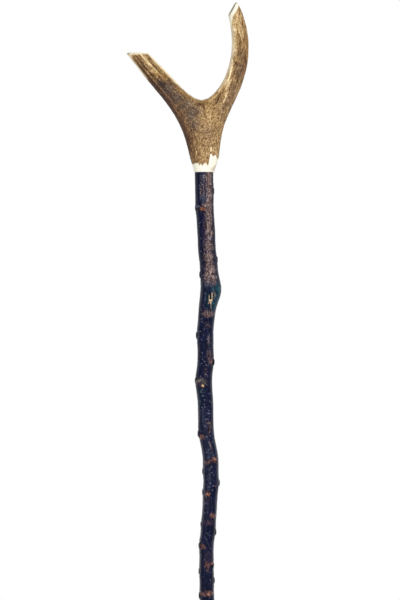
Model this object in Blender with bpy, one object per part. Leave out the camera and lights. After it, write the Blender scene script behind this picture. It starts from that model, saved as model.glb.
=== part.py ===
"""Thumb stick: a sawn antler fork on a knobbly blackthorn shank, shod with a push-on rubber ferrule.

Metres. +Z runs up the stick, +X points to the long tine and -Y to the person who faces the fork.
The origin is the middle of the ferrule's tread, which stands on the ground.
"""

import math

import bmesh
import bpy
from mathutils import Matrix, Vector
from mathutils.geometry import interpolate_bezier

# Whole stick
STICK_LENGTH = 1.250  # from the tread to the tip of the long tine
FIT_GAP = 0.0003  # between pieces that are glued, pushed or laid together

# Antler fork: heights go up from its joint with the shank, sideways places go out from the joint's middle
FORK_HEIGHT = 0.2044
CROTCH_HEIGHT = 0.0892
CROTCH_SIDEWAYS = -0.0025
CROTCH_FILL = 0.0062  # how much the subdivided surface fills the crotch of its cage
JOINT_DIAMETER = 0.0236  # the antler is dressed down to this where it meets the bark
DRESSED_HEIGHT = 0.0196  # top of the cone that is filed on the antler's foot
DRESSED_WIDTH = 0.0360
DRESSED_DEPTH = 0.0310
DRESSED_BULGE = 0.0008  # how much fuller than a straight cone it is, and how far it leans to the tine
NECK_HEIGHT = 0.0376
NECK_WIDTH = 0.0412
NECK_DEPTH = 0.0325
WEB_HEIGHT = 0.0576  # where the antler starts to part into two limbs
WEB_WIDTH = 0.0526
WEB_DEPTH = 0.0335
WEB_SIDEWAYS = -0.0025

# Short arm of the fork, on the left: straight, and sawn off level
ARM_ROOT = (-0.0305, 0.0861)
ARM_SAW_HEIGHT = 0.1434
ARM_SAW_SIDEWAYS = -0.0815
ARM_WIDTHS = (0.0270, 0.0256, 0.0246, 0.0224, 0.0202)  # evenly spaced, root to saw cut
ARM_DEPTHS = (0.0262, 0.0240, 0.0222, 0.0204, 0.0186)
ARM_GUTTERS = 0.0017  # depth of the gutters that run along the antler

# Long tine of the fork, on the right: it bows out and back in, and is sawn on the slant
TINE_ROOT = (0.0244, 0.0884)
TINE_ROOT_PULL = (0.0220, 0.0332)  # from the root to the curve's first handle
TINE_TOP_PULL = (0.0140, -0.0360)  # from the last full section to the curve's second handle
TINE_TOP_SIDEWAYS = 0.0355
TINE_TOP_DROP = 0.0084  # from the tip down to the last full section
TINE_WIDTHS = (0.0255, 0.0228, 0.0222, 0.0214, 0.0205, 0.0190, 0.0172)
TINE_DEPTHS = (0.0250, 0.0222, 0.0208, 0.0198, 0.0188, 0.0176, 0.0158)
TINE_GUTTERS = 0.0010
TINE_POINT_WIDTH = 0.0130  # the natural point that the saw takes off
TINE_TIP_SIDEWAYS = 0.0382  # of the tip that the slanting cut leaves, which is filed level
TINE_SAW_RISE = math.radians(58)
TINE_SAW_TURN = math.radians(14)  # the cut faces a little to the front

# How deep each line round a limb lies, as a share of its gutters' depth: from its right through the back
GUTTER_LINES = (0.0, 0.5, 1.0, 0.0, 0.3, 1.0, 0.1, 0.7, 0.0, 0.9, 0.2, 1.0, 0.0, 0.6, 1.0, 0.2)

# Steel stud that joins the fork to the shank
STUD_DIAMETER = 0.008
STUD_IN_FORK = 0.050
STUD_IN_SHANK = 0.060
STUD_CHAMFER = 0.001
GLUE_POCKET = 0.002  # left at each end of the stud

# Blackthorn shank: drops go down from the joint
SHANK_TOP_DIAMETER = 0.0221
SHANK_FOOT_DIAMETER = 0.0158
TAPER_POWER = 2.8  # the shank thins quickly under the fork and slowly near the foot
STRAIGHT_FOOT = 0.070  # the stretch over which the shank comes back in line for its ferrule
COURSE = (  # drop, sideways, depth of the shank's middle where it changes course
    (0.0000, -0.0024, 0.0000),
    (0.0364, -0.0018, -0.0008),
    (0.0604, -0.0004, -0.0015),
    (0.0944, 0.0012, -0.0013),
    (0.1144, 0.0034, -0.0008),
    (0.1384, 0.0044, 0.0008),
    (0.1664, 0.0010, 0.0026),
    (0.1884, -0.0006, 0.0030),
    (0.2234, -0.0006, 0.0018),
    (0.2504, -0.0022, 0.0000),
    (0.2784, -0.0006, -0.0020),
    (0.3104, 0.0004, -0.0026),
    (0.3404, 0.0049, -0.0014),
    (0.3704, 0.0058, 0.0004),
    (0.3954, 0.0047, 0.0018),
    (0.4284, 0.0026, 0.0025),
    (0.4444, 0.0009, 0.0025),
    (0.4764, 0.0006, 0.0016),
    (0.5134, 0.0016, -0.0004),
    (0.5684, 0.0044, -0.0030),
    (0.6284, 0.0010, -0.0040),
    (0.6884, -0.0030, -0.0012),
    (0.7434, -0.0014, 0.0026),
    (0.7984, 0.0028, 0.0034),
    (0.8584, 0.0030, 0.0004),
    (0.9184, -0.0008, -0.0022),
    (0.9784, 0.0000, 0.0000),
)
SWELL_FAR_SHARE = 0.35  # of a swelling's gain, on the side away from its bearing
SWELL_NEAR_SHARE = 1.65
SWELLINGS = (  # drop, half-length, gain in radius, bearing that it leans to
    (0.0964, 0.014, 0.0003, 90.0),
    (0.1424, 0.017, 0.0026, 350.0),
    (0.2504, 0.014, 0.0005, 180.0),
    (0.3434, 0.018, 0.0004, 0.0),
    (0.6184, 0.020, 0.0009, 120.0),
    (0.8334, 0.018, 0.0007, 250.0),
)

# Trimmed spurs. Bearings turn from the right (0) through the back (90) and the left (180) to the front (270)
SPUR_WIDTH = 0.0052  # of the trimmed face
SPUR_LENGTH = 0.0072
SPUR_FLARE = 1.5  # how much wider the spur is at its root
SPUR_ROOT = 0.0040  # how deep the spur starts under the bark
COLLAR_SHARE = 0.65  # of a spur's stand, made by the bark that swells round it
COLLAR_LENGTH = 0.0090
COLLAR_WIDTH = 0.0066
SPURS = (  # drop, bearing, how far the trimmed face stands out of the bark
    (0.0224, 356.0, 0.0010),
    (0.0434, 252.0, 0.0008),
    (0.0424, 188.0, 0.0008),
    (0.1044, 2.0, 0.0010),
    (0.1224, 184.0, 0.0016),
    (0.1954, 182.0, 0.0017),
    (0.2274, 350.0, 0.0015),
    (0.2494, 196.0, 0.0012),
    (0.2554, 258.0, 0.0009),
    (0.3134, 194.0, 0.0019),
    (0.3444, 318.0, 0.0013),
    (0.3474, 252.0, 0.0007),
    (0.3584, 180.0, 0.0013),
    (0.3724, 4.0, 0.0018),
    (0.3834, 180.0, 0.0012),
    (0.3864, 250.0, 0.0011),
    (0.4124, 312.0, 0.0010),
    (0.4224, 182.0, 0.0009),
    (0.4314, 2.0, 0.0015),
    (0.4474, 200.0, 0.0013),
    (0.4704, 332.0, 0.0010),
    (0.4784, 178.0, 0.0010),
    (0.4894, 1.0, 0.0012),
    (0.5054, 290.0, 0.0014),
    (0.5074, 184.0, 0.0016),
)
SPUR_STANDS = (0.0018, 0.0012, 0.0021, 0.0015)  # of the spurs that aren't listed, over and over
BACK_SPURS = 9  # behind the listed spurs
BACK_SPUR_DROP = 0.0734
BACK_SPUR_STEP = 0.050
BACK_SPUR_BEARINGS = (40.0, 95.0, 50.0, 105.0, 60.0, 115.0, 70.0, 125.0, 80.0)
LOWER_SPUR_DROP = 0.5284  # below this they follow the plant's own spiral to the foot
LOWER_SPUR_STEP = 0.0285
LOWER_SPUR_END = 0.012  # the last of them is this far above the ferrule, or farther
LOWER_SPUR_BEARING = 60.0
LEAF_TURN = 144.0  # degrees from one bud to the next round a blackthorn stem

# Rubber ferrule and the steel disc in it: heights go up from the ground
FERRULE_HEIGHT = 0.042
TREAD_DIAMETER = 0.036
TREAD_THICKNESS = 0.0075
TREAD_BEVEL = 0.0010
WAIST_DIAMETER = 0.0280  # just above the tread
MOUTH_DIAMETER = 0.0226
LIP_HEIGHT = 0.0070
LIP_OVERHANG = 0.0011
FERRULE_RIBS = 3
RIB_PITCH = 0.0050
RIB_WIDTH = 0.0015  # of its crest
RIB_SLOPE = 0.0010  # of each of its flanks, along the wall
RIB_STANDS = 0.0009
TENON_DIAMETER = 0.0144  # the shank's end is turned down to this
SOCKET_FLOOR = 0.0120
TREAD_GROOVES = 3
GROOVE_WIDTH = 0.0018
GROOVE_DEPTH = 0.0016
TREAD_LAND = 0.0042  # radius of the flat middle of the tread
DISC_THICKNESS = 0.0015
DISC_HOLE_DIAMETER = 0.0050

# Facets
FORK_SIDES = 16
SHANK_SIDES = 16
SHANK_STEP = 0.0060
SPUR_SIDES = 10
TURNED_SIDES = 32
STUD_SIDES = 24

JOINT_Z = STICK_LENGTH - FORK_HEIGHT
JOINT_X = COURSE[0][1]
SHANK_TOP_Z = JOINT_Z - FIT_GAP
SOCKET_DIAMETER = TENON_DIAMETER + 2 * FIT_GAP
DISC_BOTTOM_Z = SOCKET_FLOOR + FIT_GAP
DISC_TOP_Z = DISC_BOTTOM_Z + DISC_THICKNESS
TENON_END_Z = DISC_TOP_Z + FIT_GAP
SHOULDER_Z = FERRULE_HEIGHT + FIT_GAP
SHANK_LENGTH = SHANK_TOP_Z - SHOULDER_Z
# A closed ring of cage points draws in by this share when it is subdivided once
CAGE_DRAW_IN = (3 + math.cos(2 * math.pi / FORK_SIDES)) / 4


def clear_scene():
    for obj in list(bpy.data.objects):
        bpy.data.objects.remove(obj)


def material(name, colour, roughness, metallic=0.0):
    made = bpy.data.materials.new(name)
    made.use_nodes = True
    shader = made.node_tree.nodes["Principled BSDF"]
    shader.inputs["Base Color"].default_value = (*colour, 1.0)
    shader.inputs["Roughness"].default_value = roughness
    shader.inputs["Metallic"].default_value = metallic
    return made


def place(bm, name, finish=None, sharp_angle=math.radians(35)):
    """Turns a bmesh into a named object with outward faces and smooth shading on its round sides."""
    bmesh.ops.recalc_face_normals(bm, faces=bm.faces)
    mesh = bpy.data.meshes.new(name)
    bm.to_mesh(mesh)
    bm.free()
    if sharp_angle:
        mesh.shade_smooth()
        mesh.set_sharp_from_angle(angle=sharp_angle)
    obj = bpy.data.objects.new(name, mesh)
    bpy.context.scene.collection.objects.link(obj)
    if finish:
        mesh.materials.append(finish)
    return obj


def as_cutter(obj):
    obj.hide_render = True
    obj.display_type = "WIRE"
    return obj


def boolean(obj, other, operation):
    modifier = obj.modifiers.new(other.name, "BOOLEAN")
    modifier.operation = operation
    modifier.solver = "EXACT"
    modifier.object = other


def extrude_ring(bm, ring, places):
    """Extrudes a closed ring of vertices and moves the new ring to the given places."""
    edges = [bm.edges.get((ring[i - 1], ring[i])) for i in range(len(ring))]
    made = bmesh.ops.extrude_edge_only(bm, edges=edges)["geom"]
    fresh = {item for item in made if isinstance(item, bmesh.types.BMVert)}
    new_ring = []
    for vertex in ring:
        partner = next(e.other_vert(vertex) for e in vertex.link_edges if e.other_vert(vertex) in fresh)
        new_ring.append(partner)
    for vertex, spot in zip(new_ring, places):
        vertex.co = spot
    return new_ring


def first_ring(bm, places):
    """A closed ring of edges through the given places."""
    ring = bmesh.ops.create_circle(bm, segments=len(places), radius=1.0)["verts"]
    for vertex, spot in zip(ring, places):
        vertex.co = spot
    return ring


def cap(bm, ring):
    bmesh.ops.contextual_create(bm, geom=ring)


def oval(centre, across, width, depth, gutters=0.0):
    """Cage places round one section of the fork, from its `across` side through the back."""
    spots = []
    for i in range(FORK_SIDES):
        turn = 2 * math.pi * i / FORK_SIDES
        sunk = gutters * GUTTER_LINES[i * len(GUTTER_LINES) // FORK_SIDES]
        reach = across * (math.cos(turn) * (width / 2 / CAGE_DRAW_IN - sunk))
        spots.append(centre + reach + Vector((0, math.sin(turn) * (depth / 2 / CAGE_DRAW_IN - sunk), 0)))
    return spots


def fork_place(sideways, height, depth=0.0):
    """A point of the fork, from its place beside and above the joint."""
    return Vector((JOINT_X + sideways, depth, JOINT_Z + height))


def square_to(direction):
    """The direction in the fork's plane that is square to a limb and to its right."""
    return Vector((direction.z, 0, -direction.x)).normalized()


def grow_limb(bm, ring, centres, widths, depths, gutters):
    """Extrudes one limb of the fork through its sections. The gutters run out in its first one."""
    for i, centre in enumerate(centres):
        ahead = centres[min(i + 1, len(centres) - 1)] - centres[max(i - 1, 0)]
        depth = gutters if i else 0.0
        ring = extrude_ring(bm, ring, oval(centre, square_to(ahead), widths[i], depths[i], depth))
    return ring


def arm_sections():
    """Middles, widths and depths of the short arm's sections, one of them past the saw cut."""
    root = fork_place(*ARM_ROOT)
    end = fork_place(ARM_SAW_SIDEWAYS, ARM_SAW_HEIGHT)
    spans = len(ARM_WIDTHS) - 1
    centres = [root.lerp(end, i / spans) for i in range(spans + 2)]
    widths = [*ARM_WIDTHS, 2 * ARM_WIDTHS[-1] - ARM_WIDTHS[-2]]
    depths = [*ARM_DEPTHS, 2 * ARM_DEPTHS[-1] - ARM_DEPTHS[-2]]
    return centres, widths, depths


def tine_sections():
    """Middles, widths and depths of the long tine's sections, up to its natural point."""
    root = fork_place(*TINE_ROOT)
    top = fork_place(TINE_TOP_SIDEWAYS, FORK_HEIGHT - TINE_TOP_DROP)
    root_handle = root + Vector((TINE_ROOT_PULL[0], 0, TINE_ROOT_PULL[1]))
    top_handle = top + Vector((TINE_TOP_PULL[0], 0, TINE_TOP_PULL[1]))
    centres = interpolate_bezier(root, root_handle, top_handle, top, len(TINE_WIDTHS))
    onward = (top - top_handle).normalized()
    centres.append(top + onward * TINE_POINT_WIDTH)
    widths = [*TINE_WIDTHS, TINE_POINT_WIDTH]
    depths = [*TINE_DEPTHS, TINE_POINT_WIDTH]
    return centres, widths, depths


def fork_cage():
    """The cage of the fork: a stem that parts into two limbs along an arch over the crotch."""
    bm = bmesh.new()
    upright = Vector((1, 0, 0))
    foot_width = (JOINT_DIAMETER + DRESSED_WIDTH) / 2
    foot_depth = (JOINT_DIAMETER + DRESSED_DEPTH) / 2
    stem = (
        (-DRESSED_HEIGHT / 2, 0.0, JOINT_DIAMETER, JOINT_DIAMETER),
        (0.0, 0.0, JOINT_DIAMETER, JOINT_DIAMETER),
        (DRESSED_HEIGHT / 2, DRESSED_BULGE, foot_width + DRESSED_BULGE, foot_depth + DRESSED_BULGE),
        (DRESSED_HEIGHT, DRESSED_BULGE / 2, DRESSED_WIDTH, DRESSED_DEPTH),
        (NECK_HEIGHT, WEB_SIDEWAYS / 3, NECK_WIDTH, NECK_DEPTH),
        (WEB_HEIGHT, WEB_SIDEWAYS, WEB_WIDTH, WEB_DEPTH),
    )
    ring = None
    for height, sideways, width, depth in stem:
        spots = oval(fork_place(sideways, height), upright, width, depth)
        ring = extrude_ring(bm, ring, spots) if ring else first_ring(bm, spots)
        if height < 0:
            cap(bm, ring)
    quarter = FORK_SIDES // 4
    back, front = ring[quarter], ring[3 * quarter]
    arch = []
    for i in range(1, FORK_SIDES // 2):
        turn = math.pi * i / (FORK_SIDES // 2)
        height = WEB_HEIGHT + (CROTCH_HEIGHT - CROTCH_FILL - WEB_HEIGHT) * math.sin(turn)
        depth = WEB_DEPTH / 2 * math.cos(turn) / CAGE_DRAW_IN
        sideways = WEB_SIDEWAYS + (CROTCH_SIDEWAYS - WEB_SIDEWAYS) * math.sin(turn)
        arch.append(bm.verts.new(fork_place(sideways, height, depth)))
    span = [back, *arch, front]
    for low, high in zip(span, span[1:]):
        bm.edges.new((low, high))
    top = len(arch) // 2
    left_ring = [*reversed(arch[: top + 1]), *ring[quarter : 3 * quarter + 1], *reversed(arch[top + 1 :])]
    right_ring = [*ring[: quarter + 1], *arch, *ring[3 * quarter :]]
    cap(bm, grow_limb(bm, left_ring, *arm_sections(), ARM_GUTTERS))
    cap(bm, grow_limb(bm, right_ring, *tine_sections(), TINE_GUTTERS))
    return bm


def block(name, middle, size, turn=None):
    """A box cutter whose bottom face is at its middle, turned about that point."""
    bm = bmesh.new()
    bmesh.ops.create_cube(bm, size=1.0)
    bmesh.ops.translate(bm, verts=bm.verts, vec=(0, 0, 0.5))
    bmesh.ops.scale(bm, verts=bm.verts, vec=(size, size, size))
    if turn:
        bmesh.ops.rotate(bm, verts=bm.verts, cent=(0, 0, 0), matrix=turn)
    bmesh.ops.translate(bm, verts=bm.verts, vec=middle)
    return as_cutter(place(bm, name, sharp_angle=0.0))


def circle(middle_x, radius, height, sides):
    spots = []
    for i in range(sides):
        turn = 2 * math.pi * i / sides
        spots.append(Vector((middle_x + radius * math.cos(turn), radius * math.sin(turn), height)))
    return spots


def bar(name, diameter, low, high, finish=None, chamfer=0.0):
    """A round bar on the joint's upright line, with chamfered ends if asked for."""
    bm = bmesh.new()
    radius = diameter / 2
    outline = [(radius, low + chamfer), (radius, high - chamfer)]
    if chamfer:
        outline = [(radius - chamfer, low), *outline, (radius - chamfer, high)]
    ring = first_ring(bm, circle(JOINT_X, outline[0][0], outline[0][1], STUD_SIDES))
    cap(bm, ring)
    for reach, height in outline[1:]:
        ring = extrude_ring(bm, ring, circle(JOINT_X, reach, height, STUD_SIDES))
    cap(bm, ring)
    return place(bm, name, finish)


def antler_fork(finish):
    fork = place(fork_cage(), "antler_fork", finish, sharp_angle=math.pi)
    smoothing = fork.modifiers.new("growth", "SUBSURF")
    smoothing.levels = 1
    smoothing.render_levels = 1
    size = FORK_HEIGHT
    over = Matrix.Rotation(math.pi, 3, "X")
    slant = Matrix.Rotation(TINE_SAW_TURN, 3, "X") @ Matrix.Rotation(-TINE_SAW_RISE, 3, "Y")
    arm_saw = fork_place(CROTCH_SIDEWAYS - size / 2, ARM_SAW_HEIGHT)
    tine_saw = fork_place(TINE_TIP_SIDEWAYS, FORK_HEIGHT)
    boolean(fork, block("foot_saw", fork_place(0, 0), size, over), "DIFFERENCE")
    boolean(fork, block("arm_saw", arm_saw, size), "DIFFERENCE")
    boolean(fork, block("tine_saw", tine_saw, size / 2, slant), "DIFFERENCE")
    boolean(fork, block("tip_file", tine_saw, TINE_WIDTHS[0]), "DIFFERENCE")
    depth = STUD_IN_FORK + GLUE_POCKET
    drill = bar("fork_drill", STUD_DIAMETER + 2 * FIT_GAP, JOINT_Z - depth, JOINT_Z + depth)
    boolean(fork, as_cutter(drill), "DIFFERENCE")
    return fork


def course(drop):
    """The shank's middle at a drop below the joint, on a smooth curve through the course's points."""
    drops = [point[0] for point in COURSE]
    drop = min(max(drop, drops[0]), drops[-1])
    i = max(k for k in range(len(drops) - 1) if drops[k] <= drop)
    before, here, there, after = (COURSE[min(max(k, 0), len(COURSE) - 1)] for k in range(i - 1, i + 3))
    share = (drop - here[0]) / (there[0] - here[0])
    spot = []
    for axis in (1, 2):
        leave = (there[axis] - before[axis]) / 2
        arrive = (after[axis] - here[axis]) / 2
        gap = there[axis] - here[axis]
        bend = share * (1 - share) * (leave * (1 - share) - arrive * share + gap * (2 * share - 1))
        spot.append(here[axis] + gap * share + bend)
    return Vector(spot)


def middle_of_shank(drop):
    """The course, brought back in line with the ferrule over the last stretch."""
    left = (SHANK_LENGTH - drop) / STRAIGHT_FOOT
    share = min(max(left, 0.0), 1.0)
    return course(drop) * (share * share * (3 - 2 * share))


def shank_radius(drop, bearing):
    """The bark's distance from the shank's middle, without its spurs."""
    share = min(max(1 - drop / SHANK_LENGTH, 0.0), 1.0)
    radius = (SHANK_FOOT_DIAMETER + (SHANK_TOP_DIAMETER - SHANK_FOOT_DIAMETER) * share**TAPER_POWER) / 2
    for place_down, half_length, gain, leans_to in SWELLINGS:
        nearness = math.exp(-(((drop - place_down) / half_length) ** 2))
        lean = 0.5 + 0.5 * math.cos(bearing - math.radians(leans_to))
        radius += gain * nearness * (SWELL_FAR_SHARE + (SWELL_NEAR_SHARE - SWELL_FAR_SHARE) * lean)
    collar = 0.0
    for place_down, degrees, stands in spurs():
        along = (drop - place_down) / COLLAR_LENGTH
        turn = math.remainder(bearing - math.radians(degrees), 2 * math.pi)
        around = turn * radius / COLLAR_WIDTH
        collar = max(collar, stands * math.exp(-(along**2) - around**2))
    return radius + COLLAR_SHARE * collar


def spurs():
    """Every trimmed spur: those chosen one by one, those at the back, and the spiral down to the foot."""
    found = [spur for spur in SPURS if spur[0] < SHANK_LENGTH - LOWER_SPUR_END]
    for i in range(BACK_SPURS):
        bearing = BACK_SPUR_BEARINGS[i % len(BACK_SPUR_BEARINGS)]
        found.append((BACK_SPUR_DROP + i * BACK_SPUR_STEP, bearing, SPUR_STANDS[i % len(SPUR_STANDS)]))
    lower = math.floor((SHANK_LENGTH - LOWER_SPUR_END - LOWER_SPUR_DROP) / LOWER_SPUR_STEP) + 1
    for i in range(lower):
        bearing = (LOWER_SPUR_BEARING + i * LEAF_TURN) % 360
        found.append((LOWER_SPUR_DROP + i * LOWER_SPUR_STEP, bearing, SPUR_STANDS[i % len(SPUR_STANDS)]))
    return found


def bark_ring(drop):
    middle = middle_of_shank(drop)
    spots = []
    for i in range(SHANK_SIDES):
        bearing = 2 * math.pi * i / SHANK_SIDES
        radius = shank_radius(drop, bearing)
        x = middle.x + radius * math.cos(bearing)
        y = middle.y + radius * math.sin(bearing)
        spots.append(Vector((x, y, SHANK_TOP_Z - drop)))
    return spots


def trimmed_spurs():
    """The trimmed spurs as oval stubs, to be joined to the shank."""
    bm = bmesh.new()
    for drop, degrees, stands in spurs():
        bearing = math.radians(degrees)
        middle = middle_of_shank(drop)
        proud = stands * (1 - COLLAR_SHARE)
        length = SPUR_ROOT + proud
        reach = shank_radius(drop, bearing) + proud - length / 2
        upright = Matrix.Diagonal((SPUR_LENGTH / SPUR_WIDTH, 1, 1, 1))
        outward = Matrix.Rotation(math.pi / 2, 4, "Y")
        swing = Matrix.Rotation(bearing, 4, "Z")
        spot = Matrix.Translation((middle.x, middle.y, SHANK_TOP_Z - drop))
        bmesh.ops.create_cone(
            bm,
            cap_ends=True,
            segments=SPUR_SIDES,
            radius1=SPUR_WIDTH / 2 * SPUR_FLARE,
            radius2=SPUR_WIDTH / 2,
            depth=length,
            matrix=spot @ swing @ Matrix.Translation((reach, 0, 0)) @ outward @ upright,
        )
    return as_cutter(place(bm, "trimmed_spurs", sharp_angle=0.0))


def shank(finish):
    bm = bmesh.new()
    rings = math.ceil(SHANK_LENGTH / SHANK_STEP)
    ring = first_ring(bm, bark_ring(0.0))
    cap(bm, ring)
    for i in range(1, rings + 1):
        ring = extrude_ring(bm, ring, bark_ring(SHANK_LENGTH * i / rings))
    for height in (SHOULDER_Z, TENON_END_Z):
        ring = extrude_ring(bm, ring, circle(0.0, TENON_DIAMETER / 2, height, SHANK_SIDES))
    cap(bm, ring)
    stick = place(bm, "blackthorn_shank", finish)
    boolean(stick, trimmed_spurs(), "UNION")
    low = SHANK_TOP_Z - STUD_IN_SHANK - GLUE_POCKET
    high = SHANK_TOP_Z + GLUE_POCKET
    drill = bar("shank_drill", STUD_DIAMETER + 2 * FIT_GAP, low, high)
    boolean(stick, as_cutter(drill), "DIFFERENCE")
    return stick


def joining_stud(finish):
    low = SHANK_TOP_Z - STUD_IN_SHANK
    high = JOINT_Z + STUD_IN_FORK
    return bar("joining_stud", STUD_DIAMETER, low, high, finish, STUD_CHAMFER)


def turn_profile(name, profile, finish):
    """Spins a closed outline of (radius, height) points about the stick's upright line."""
    bm = bmesh.new()
    verts = [bm.verts.new((radius, 0, height)) for radius, height in profile]
    edges = [bm.edges.new((verts[i - 1], verts[i])) for i in range(len(verts))]
    bmesh.ops.spin(
        bm,
        geom=verts + edges,
        cent=(0, 0, 0),
        axis=(0, 0, 1),
        angle=2 * math.pi,
        steps=TURNED_SIDES,
        use_merge=True,
    )
    bmesh.ops.remove_doubles(bm, verts=bm.verts, dist=1e-6)
    return place(bm, name, finish)


def tread_profile():
    """The tread's face from its middle out, with its ring grooves."""
    tread = TREAD_DIAMETER / 2 - TREAD_BEVEL
    land = (tread - TREAD_LAND - TREAD_GROOVES * GROOVE_WIDTH) / TREAD_GROOVES
    points = [(TREAD_LAND, 0.0)]
    radius = TREAD_LAND
    for _ in range(TREAD_GROOVES):
        points.append((radius, GROOVE_DEPTH))
        points.append((radius + GROOVE_WIDTH, GROOVE_DEPTH))
        points.append((radius + GROOVE_WIDTH, 0.0))
        radius += GROOVE_WIDTH + land
        points.append((radius, 0.0))
    return points


def wall_profile():
    """The ferrule's outside from its tread up to its mouth: a tapering wall with ribs, under a lip."""
    tread, waist, mouth = TREAD_DIAMETER / 2, WAIST_DIAMETER / 2, MOUTH_DIAMETER / 2
    lip_base = FERRULE_HEIGHT - LIP_HEIGHT
    top = TREAD_THICKNESS
    points = [(tread, TREAD_BEVEL), (tread, top - TREAD_BEVEL), (tread - TREAD_BEVEL, top)]
    crest, foot = RIB_WIDTH / 2, RIB_WIDTH / 2 + RIB_SLOPE
    for i in range(FERRULE_RIBS):
        for along, stands in ((-foot, 0.0), (-crest, RIB_STANDS), (crest, RIB_STANDS), (foot, 0.0)):
            height = top + (i + 1) * RIB_PITCH - foot + along
            wall = waist + (mouth - waist) * (height - top) / (lip_base - top)
            points.append((wall + stands, height))
    lip = mouth + LIP_OVERHANG
    points += [(mouth, lip_base), (lip, lip_base + LIP_OVERHANG), (lip, FERRULE_HEIGHT - LIP_OVERHANG)]
    points.append((mouth, FERRULE_HEIGHT))
    return points


def rubber_ferrule(finish):
    socket = SOCKET_DIAMETER / 2
    inside = [(socket, FERRULE_HEIGHT), (socket, SOCKET_FLOOR), (0.0, SOCKET_FLOOR)]
    profile = [(0.0, 0.0), *tread_profile(), *wall_profile(), *inside]
    return turn_profile("rubber_ferrule", profile, finish)


def ferrule_disc(finish):
    outer, hole = SOCKET_DIAMETER / 2 - FIT_GAP, DISC_HOLE_DIAMETER / 2
    profile = [(hole, DISC_BOTTOM_Z), (outer, DISC_BOTTOM_Z), (outer, DISC_TOP_Z), (hole, DISC_TOP_Z)]
    return turn_profile("ferrule_disc", profile, finish)


def build():
    clear_scene()
    antler = material("antler", (0.40, 0.26, 0.13), 0.45)
    bark = material("bark", (0.040, 0.030, 0.042), 0.35)
    zinc = material("zinc_plated_steel", (0.62, 0.62, 0.60), 0.35, 1.0)
    rubber = material("rubber", (0.022, 0.022, 0.024), 0.80)
    antler_fork(antler)
    shank(bark)
    joining_stud(zinc)
    rubber_ferrule(rubber)
    ferrule_disc(zinc)


build()
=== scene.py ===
# %% [markdown]
# # A thumb stick: antler fork, blackthorn shank, rubber ferrule
# The solids of the stick are ready: five pieces, each in its own place. This lesson gives them their looks. A
# natural material is never one colour, so most of the work is in knowing where on the piece we are: how far
# along the antler, on which side of it, how far down the bark. Once each point of a surface knows that,
# ridges, stains and knots can be put where the photo shows them.

# %% Load the solids
import math

import bmesh
import bpy
import numpy as np
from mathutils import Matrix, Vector, noise
from mathutils.bvhtree import BVHTree


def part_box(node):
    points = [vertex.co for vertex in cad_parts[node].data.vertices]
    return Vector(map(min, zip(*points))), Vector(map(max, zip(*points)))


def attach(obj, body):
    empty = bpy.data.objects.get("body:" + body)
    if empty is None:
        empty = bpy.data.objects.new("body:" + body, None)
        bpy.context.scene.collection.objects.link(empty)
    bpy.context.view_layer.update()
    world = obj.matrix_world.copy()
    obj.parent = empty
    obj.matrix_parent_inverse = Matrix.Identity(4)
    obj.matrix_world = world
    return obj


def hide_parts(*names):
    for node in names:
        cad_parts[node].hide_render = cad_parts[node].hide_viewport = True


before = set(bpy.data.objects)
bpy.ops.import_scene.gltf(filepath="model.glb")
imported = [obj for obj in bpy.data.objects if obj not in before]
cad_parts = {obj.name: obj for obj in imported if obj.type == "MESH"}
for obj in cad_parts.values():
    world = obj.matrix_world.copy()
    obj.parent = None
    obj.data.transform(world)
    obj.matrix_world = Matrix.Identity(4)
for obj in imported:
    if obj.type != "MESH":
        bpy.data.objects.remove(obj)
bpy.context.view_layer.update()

# %% [markdown]
# ## Reading places off the photo
# The photo is 400 by 600 pixels, and one pixel is 1.2 mm of the stick. The fork meets the shank a third of
# the way down row 172. A place that is read off the photo becomes millimetres sideways from the stick's
# upright line and millimetres above that joint. All the lists of marks below use this one rule.

# %% Photo pixels to millimetres
MM_PER_PIXEL = 1.2
MIDDLE_COLUMN = 206.0
JOINT_ROW = 172.33
JOINT_Z = 1045.6  # millimetres above the ground
STEM_MIDDLE = -2.4  # sideways place of the fork's stem and of the shank's top


def seen(column, row):
    """Sideways place and height above the joint, in millimetres, of a pixel of the photo."""
    return (column - MIDDLE_COLUMN) * MM_PER_PIXEL, (JOINT_ROW - row) * MM_PER_PIXEL


print("the saw cut of the arm is", round(seen(140, 53)[1], 1), "mm above the joint")

# %% [markdown]
# ## Small tools for meshes
# The relief is worked out with arrays, because the antler alone has nearly a hundred thousand points. These
# helpers take a mesh's points out as an array of millimetres, put them back, and store a number or a vector
# for each point. A stored number is an attribute, and a material can read it by name.

# %% Points, attributes and smooth steps
def points_of(mesh):
    flat = np.empty(len(mesh.vertices) * 3)
    mesh.vertices.foreach_get("co", flat)
    return flat.reshape(-1, 3) * 1000


def normals_of(mesh):
    flat = np.empty(len(mesh.vertices) * 3)
    mesh.vertex_normals.foreach_get("vector", flat)
    return flat.reshape(-1, 3)


def put_points(mesh, points):
    mesh.vertices.foreach_set("co", (points / 1000).ravel())
    mesh.update()


def store(mesh, name, values):
    """Keeps one number, or one vector, for each point under a name that a material can read."""
    if values.ndim == 1:
        mesh.attributes.new(name, "FLOAT", "POINT").data.foreach_set("value", values)
    else:
        mesh.attributes.new(name, "FLOAT_VECTOR", "POINT").data.foreach_set("vector", values.ravel())


def step(values, low, high):
    """Rises smoothly from 0 at low to 1 at high, or falls if high is the smaller."""
    share = np.clip((values - low) / (high - low), 0, 1)
    return share * share * (3 - 2 * share)


def noise_at(places, cell, seed=0.0):
    """Soft noise, from about -1 to 1. The cell is the size in millimetres of one lump, across and along."""
    lumps = places / np.array(cell) + seed
    return np.array([noise.noise(spot) for spot in lumps.tolist()])


def worms(places, cell, sharpness, seed=0.0):
    """Crests that wander and fork like worm tracks: 1 on a crest, 0 between them."""
    return 1 - np.clip(np.abs(noise_at(places, cell, seed)) * sharpness, 0, 1)


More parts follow.
